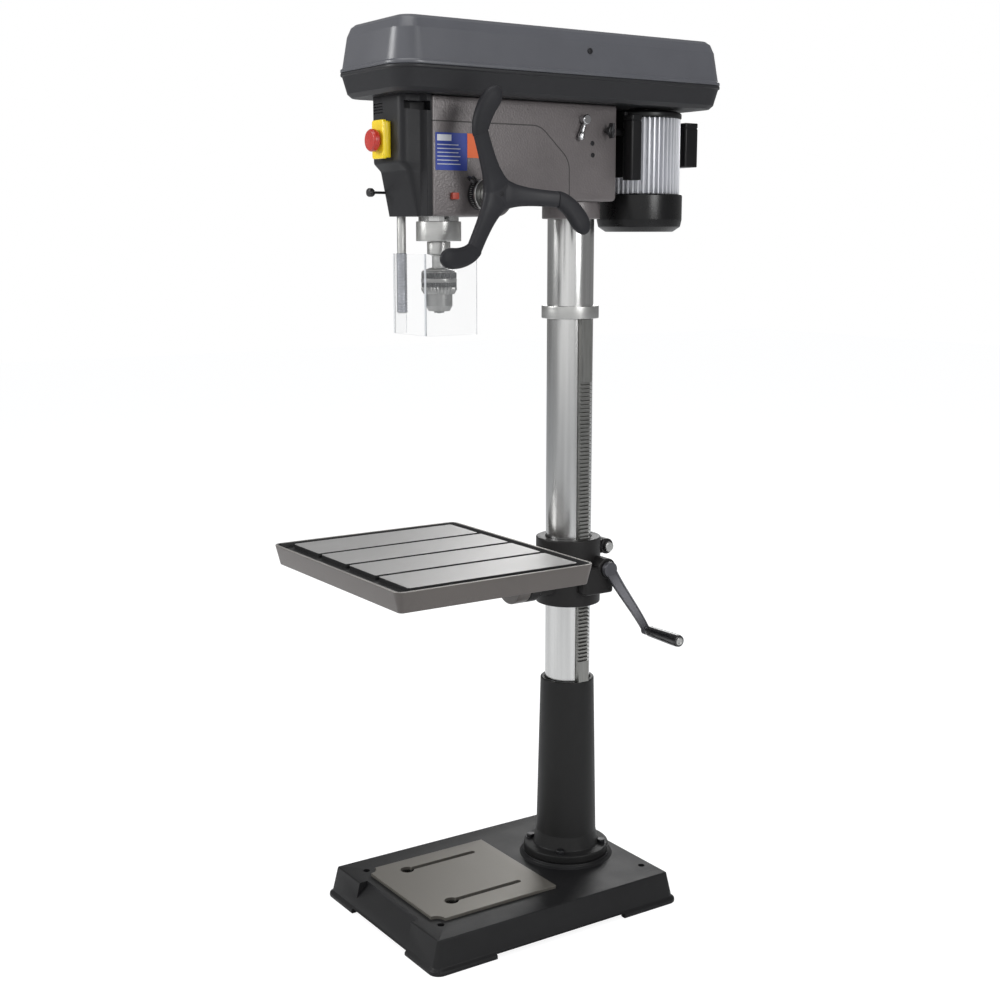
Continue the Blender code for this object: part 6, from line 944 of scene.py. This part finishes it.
# ---- Belt cover lid ---------------------------------------------------------------------------
# One pressed steel lid with a rolled rim, its sides raked and its top edges broadly rounded, powder
# coated blue grey. It swings up on two hinges, and a screw by the motor keeps it shut.
_, lid_high = node_box("guard_lid")
LID_TOP, LID_FOOT = lid_high[2], RIM_Z + SEAT
HINGE_HALF = 0.013
lid_coat = finish("lid_coat", (76, 77, 82), 0.36, 0.0, 0.05, 8, 1500, 0.00005, coat=0.2)
put("lid", [box_rings(-RIM_HALF, RIM_HALF, COVER_FRONT, COVER_REAR, CORNER, [
    (0.060, LID_TOP - SHEET), (0.032, LID_TOP - SHEET), (0.0235, LID_TOP - 0.0085), (0.0158, LID_TOP - 0.024),
    (0.0070, LID_FOOT + 0.0065), (0.0060, LID_FOOT), (0, LID_FOOT), (0, LID_FOOT + 0.0058),
    (0.0036, LID_FOOT + 0.0075), (0.0131, LID_TOP - 0.022), (0.0205, LID_TOP - 0.0062), (0.0290, LID_TOP),
    (0.060, LID_TOP)], 0.0024, 14)], "lid", "lid_paint", lid_coat, ["guard_lid"])
for end, middle in (("front", COVER_FRONT * 0.55), ("back", COVER_REAR * 0.45)):
    for body, slot_name, material, y0, y1 in (
            ("lid", "lid_paint", lid_coat, middle - HINGE_HALF, middle - 0.0002),
            ("frame", "tray_paint", tray_coat, middle + 0.0002, middle + HINGE_HALF)):
        put(f"hinge_{body}_{end}", [tube(0.0016, 0.004, y0, y1, "y", (-RIM_HALF - 0.003, 0, LID_FOOT), 0.0006,
                                         40, False)], body, slot_name, material)
put("lid_screw", [lathe([(AXIS, 0), (0.0058, 0), (0.0054, 0.0022), (0.0036, 0.0032), (AXIS, 0.0034)],
                        "x", (RIM_HALF - 0.0105, -0.045, LID_FOOT + 0.045), 0.0008, 48)],
    "lid", "dark_steel", screw_dark)

# ---- Pulleys, belts and idler -----------------------------------------------------------------
# Stepped cone pulleys cast in aluminium, with turned V grooves, and two moulded rubber belts. They
# show when the lid is open.
pulley_cast = finish("pulley_aluminium", (190, 190, 196), 0.32, 0.9, 0.07, 20, 900, 0.00004, (1, 1, 8))
STEP, GROOVE = 0.0145, 0.009
STEP_RADII = (0.068, 0.058, 0.048, 0.038)
HUB_RADIUS = 0.0258
LEVEL = TRAY_FOOT + SHEET + 0.005


def cone(radii, foot, hub, bore):
    """A stepped pulley's closed profile: for each step of radius r a V groove at its middle."""
    profile = [(bore, hub), (HUB_RADIUS, hub), (HUB_RADIUS, foot)] if hub < foot else [(bore, foot)]
    for low, r in zip(foot + STEP * np.arange(len(radii)), radii):
        profile += [(r, low), (r, low + 0.0012), (r - GROOVE, low + 0.0036), (r - GROOVE, low + 0.0109),
                    (r, low + STEP - 0.0012), (r, low + STEP)]
    return profile + [(bore, foot + STEP * len(radii))]


for name, radii, at, foot, hub, bore, body in (
        ("spindle", STEP_RADII, AT_SPINDLE, LEVEL + STEP, HEAD_TOP - 0.036, 0.0119, "spindle_pulley"),
        ("idler", (0.028,) + STEP_RADII[::-1], AT_IDLER, LEVEL, LEVEL, 0.009, "idler_pulley"),
        ("motor", STEP_RADII, AT_MOTOR, LEVEL, LEVEL, 0.0098, "rotor")):
    put(f"{name}_cone", [lathe(cone(radii, foot, hub, bore), at=at, soft=0.0003, sides=80, hollow=True)],
        body, "cast_aluminium", pulley_cast, [f"{name}_pulley"])
refinish(finish("belt_rubber", (30, 30, 31), 0.72, 0.0, 0.08, 30, 1300, 0.00008),
         "spindle_belt", "motor_belt")
refinish(dark_steel, "idler_arm", "rotor_shaft")

# ---- Motor ------------------------------------------------------------------------------------
# A finned aluminium frame left bright, closed by black end covers. Its boxes hold the terminals
# and the capacitor, and it hangs on a plate whose rods slide in the head to tension the belt.
frame_low, _ = node_box("motor_frame")
bell_low, bell_high = node_box("motor_end_bell")
fan_low, fan_high = node_box("fan_cover")
plate_low, plate_high = node_box("motor_mount")
MOTOR_RADIUS, FINS, FIN_DEPTH = 0.080, 48, 0.0095
FRAME_FOOT, FRAME_TOP = frame_low[2], bell_low[2] - SEAT
FAN_FOOT, FAN_TOP = fan_low[2], fan_high[2]
PLATE_FACE = plate_high[1]
SLIDE_Z = HEAD_TOP - 0.049
fin_metal = finish("fin_aluminium", (206, 207, 211), 0.42, 0.45, 0.04, 18, 900, 0.00005)
fan_gloss = finish("fan_gloss", (14, 14, 15), 0.28, 0.0, 0.05, 20, 1500, 0.00002, shine=0.3)


def finned(count, depth, low, high):
    """The frame's outline: radius R - d f(n a), with f running from 0 on a fin to 1 in a gap along a
    steep, smoothed cosine, so that n fins with round tips stand round it."""
    a = np.linspace(0, 2 * np.pi, count * 16, endpoint=False)
    wave = 1 / (1 + np.exp(9 * np.cos(count * a) + 1.5))
    r = MOTOR_RADIUS - depth * (1 - wave)
    return slab(np.stack([r * np.cos(a), r * np.sin(a)], -1), low, high, 0.0008, at=AT_MOTOR)


put("motor", [finned(FINS, FIN_DEPTH, FRAME_FOOT, FRAME_TOP),
              bar(-0.030, 0.030, PLATE_FACE + SEAT, MOTOR_Y - MOTOR_RADIUS + 0.014, FRAME_FOOT + 0.03,
                  FRAME_TOP - 0.012, 0.004, 0.006)],
    "motor", "cast_aluminium", fin_metal, ["motor_frame"], sharp=40)
put("motor_cap", [lathe([
    (0.010, bell_low[2]), (0.082, bell_low[2]), (0.082, bell_high[2] - 0.004), (0.074, bell_high[2]),
    (0.010, bell_high[2])], at=AT_MOTOR, soft=0.003, hollow=True)],
    "motor", "black_metal", black_paint, ["motor_end_bell"])
fan_shell = put("fan_shell", [lathe([
    (0.004, FAN_FOOT + 0.003), (0.064, FAN_FOOT + 0.003), (0.080, FAN_FOOT + 0.014),
    (0.083, FAN_FOOT + 0.026), (0.083, FAN_TOP - 0.004), (0.076, FAN_TOP - 0.004), (0.076, FAN_TOP),
    (0.086, FAN_TOP), (0.086, FAN_FOOT + 0.024), (0.083, FAN_FOOT + 0.010), (0.068, FAN_FOOT),
    (0.004, FAN_FOOT)],
    at=AT_MOTOR, soft=0.004)], "motor", "fan_black", fan_gloss, ["fan_cover"])
carve(fan_shell, [block(x - 0.0025, x + 0.0025, MOTOR_Y - 0.035, MOTOR_Y + 0.035, FAN_FOOT - 0.01,
                        FAN_FOOT + 0.008) for x in 0.0125 * np.arange(6) - 0.035])
for part in ("terminal", "capacitor"):
    low, high = node_box(f"{part}_box")
    put(f"{part}_case", [box_rings(low[0], high[0], low[1], high[1], 0.004, [
        (0.008, low[2]), (0, low[2]), (0, high[2] - 0.012), (0.0012, high[2] - 0.0115),
        (0.0012, high[2] - 0.0095), (0, high[2] - 0.009), (0, high[2]), (0.008, high[2])])],
        "motor", "black_plastic", black_paint, [f"{part}_box"])
put("motor_plate", [bar(plate_low[0], plate_high[0], PLATE_FACE - 0.008, PLATE_FACE, plate_low[2],
                        plate_high[2], 0.0015, 0.003, 0.001)]
    + [tube(AXIS, 0.007, plate_low[1], PLATE_FACE - 0.004, "y", (side * 0.058, 0, SLIDE_Z), 0.001, 48, False)
       for side in (-1, 1)], "motor", "black_metal", black_paint, ["motor_mount"])
refinish(knob_black, "cooling_fan")

# ---- Belt tension lever and slide lock knob ---------------------------------------------------
# The chromed lever turns a cam that draws the motor along its rods, and the wing knob below it
# locks the rods.
chrome = finish("lever_chrome", (190, 190, 192), 0.12, 1.0, 0.03, 30, 1500, 0.00001)
LEVER_Y, LEVER_Z = -0.024, HEAD_TOP - 0.030
put("tension_handle", [
    lathe([(AXIS, -0.012), (0.006, -0.012), (0.006, SEAT), (0.0095, SEAT), (0.0095, 0.012), (0.008, 0.014),
           (AXIS, 0.014)], "x", (HEAD_HALF, LEVER_Y, LEVER_Z), 0.001, 56),
    turned_about_x(lathe([(AXIS, 0.006), (0.0040, 0.006), (0.0045, 0.024), (0.0065, 0.030), (0.0065, 0.036),
                          (0.0040, 0.040), (AXIS, 0.040)], soft=0.0015, sides=40), -198,
                   (HEAD_HALF + 0.007, LEVER_Y, LEVER_Z))],
    "tension_lever", "chrome_lever", chrome, ["tension_lever"])
put("lock_wing", [laid(shell, "x", (0, 0.031, SLIDE_Z))
                  for shell in wing_knob(HEAD_HALF + 0.006, 0.008, 0.013, 0.030, 0.004, HEAD_HALF - 0.0047)],
    "lock_knob", "black_plastic", knob_black, ["motor_lock_knob"])

# ---- Studio -----------------------------------------------------------------------------------
# A pale seamless floor under soft lamps, with the camera at the operator's right front. The floor
# glows a little to the camera, and polished surfaces see a brighter wall behind the camera.
FLOOR_HALF = 14
AZIMUTH, PITCH = np.radians(56.28), np.radians(10.10)
WHITE = (1, 1, 1, 1)
floor_paper, tree = material_tree("studio_paper")
paper = wire(tree, tree.nodes["Principled BSDF"], {"Base Color": (0.80, 0.80, 0.80, 1), "Roughness": 0.9})
glow = wire(tree, "Emission", {"Color": WHITE, "Strength": 1.30})
share = wire(tree, "Math", {0: wire(tree, "LightPath").outputs["Is Camera Ray"], 1: 0.66},
             operation="MULTIPLY")
blend = wire(tree, "MixShader", {"Fac": share.outputs[0], 1: paper.outputs["BSDF"],
                                 2: glow.outputs["Emission"]})
wire(tree, tree.nodes["Material Output"], {"Surface": blend.outputs["Shader"]})
floor_mesh = bpy.data.meshes.new("studio_floor")
floor_mesh.from_pydata([(x * FLOOR_HALF, y * FLOOR_HALF, 0) for x, y in ((-1, -1), (1, -1), (1, 1), (-1, 1))],
                       [], [(0, 1, 2, 3)])
floor_mesh.materials.append(floor_paper)
shown("studio_floor", floor_mesh)

world = bpy.data.worlds.new("studio")
bpy.context.scene.world = world
world.use_nodes = True
tree = world.node_tree
soft = wire(tree, tree.nodes["Background"], {"Color": (0.9, 0.92, 0.95, 1), "Strength": 0.55})
white = wire(tree, "Background", {"Color": WHITE, "Strength": 1.0})
path = wire(tree, "LightPath").outputs
towards = wire(tree, "VectorMath", {0: wire(tree, "TexCoord").outputs["Generated"], 1: (0.563, -0.827, 0.0)},
               operation="DOT_PRODUCT")
wall = wire(tree, "MapRange", {"Value": towards.outputs["Value"], "From Min": 0.55, "From Max": 0.97,
                               "To Min": 0.26, "To Max": 1.15}, interpolation_type="SMOOTHSTEP")
mirrored = wire(tree, "Background", {"Color": WHITE, "Strength": wall.outputs["Result"]})
by_gloss = wire(tree, "MixShader", {"Fac": path["Is Glossy Ray"], 1: soft.outputs["Background"],
                                    2: mirrored.outputs["Background"]})
direct = wire(tree, "Math", {0: path["Is Camera Ray"], 1: path["Is Transmission Ray"]}, operation="MAXIMUM")
chosen = wire(tree, "MixShader", {"Fac": direct.outputs[0], 1: by_gloss.outputs["Shader"],
                                  2: white.outputs["Background"]})
wire(tree, tree.nodes["World Output"], {"Surface": chosen.outputs["Shader"]})

for name, at, aim_z, size, power in (
        ("left_front", (-1.6, -3.4, 2.6), 1.0, 1.6, 95), ("right_side", (3.6, 0.4, 2.2), 1.0, 1.2, 60),
        ("overhead", (0.4, -0.6, 4.2), 0.6, 2.2, 50), ("rear_left", (-2.8, 2.6, 2.4), 1.0, 1.6, 36)):
    light = bpy.data.lights.new(name, "AREA")
    light.size, light.energy = size, power
    lamp = shown(name, light)
    lamp.location = at
    lamp.rotation_euler = (Vector((0, 0, aim_z)) - Vector(at)).to_track_quat("-Z", "Y").to_euler()

camera_data = bpy.data.cameras.new("front_right")
camera_data.sensor_width, camera_data.lens = 36, 53.14
camera = shown("front_right", camera_data)
camera.location = (2.38375, -1.6355, 1.3485)
looking = Vector((-np.sin(AZIMUTH) * np.cos(PITCH), np.cos(AZIMUTH) * np.cos(PITCH), -np.sin(PITCH)))
camera.rotation_euler = looking.to_track_quat("-Z", "Y").to_euler()
bpy.context.scene.camera = camera
bpy.context.scene.view_settings.view_transform = "Standard"
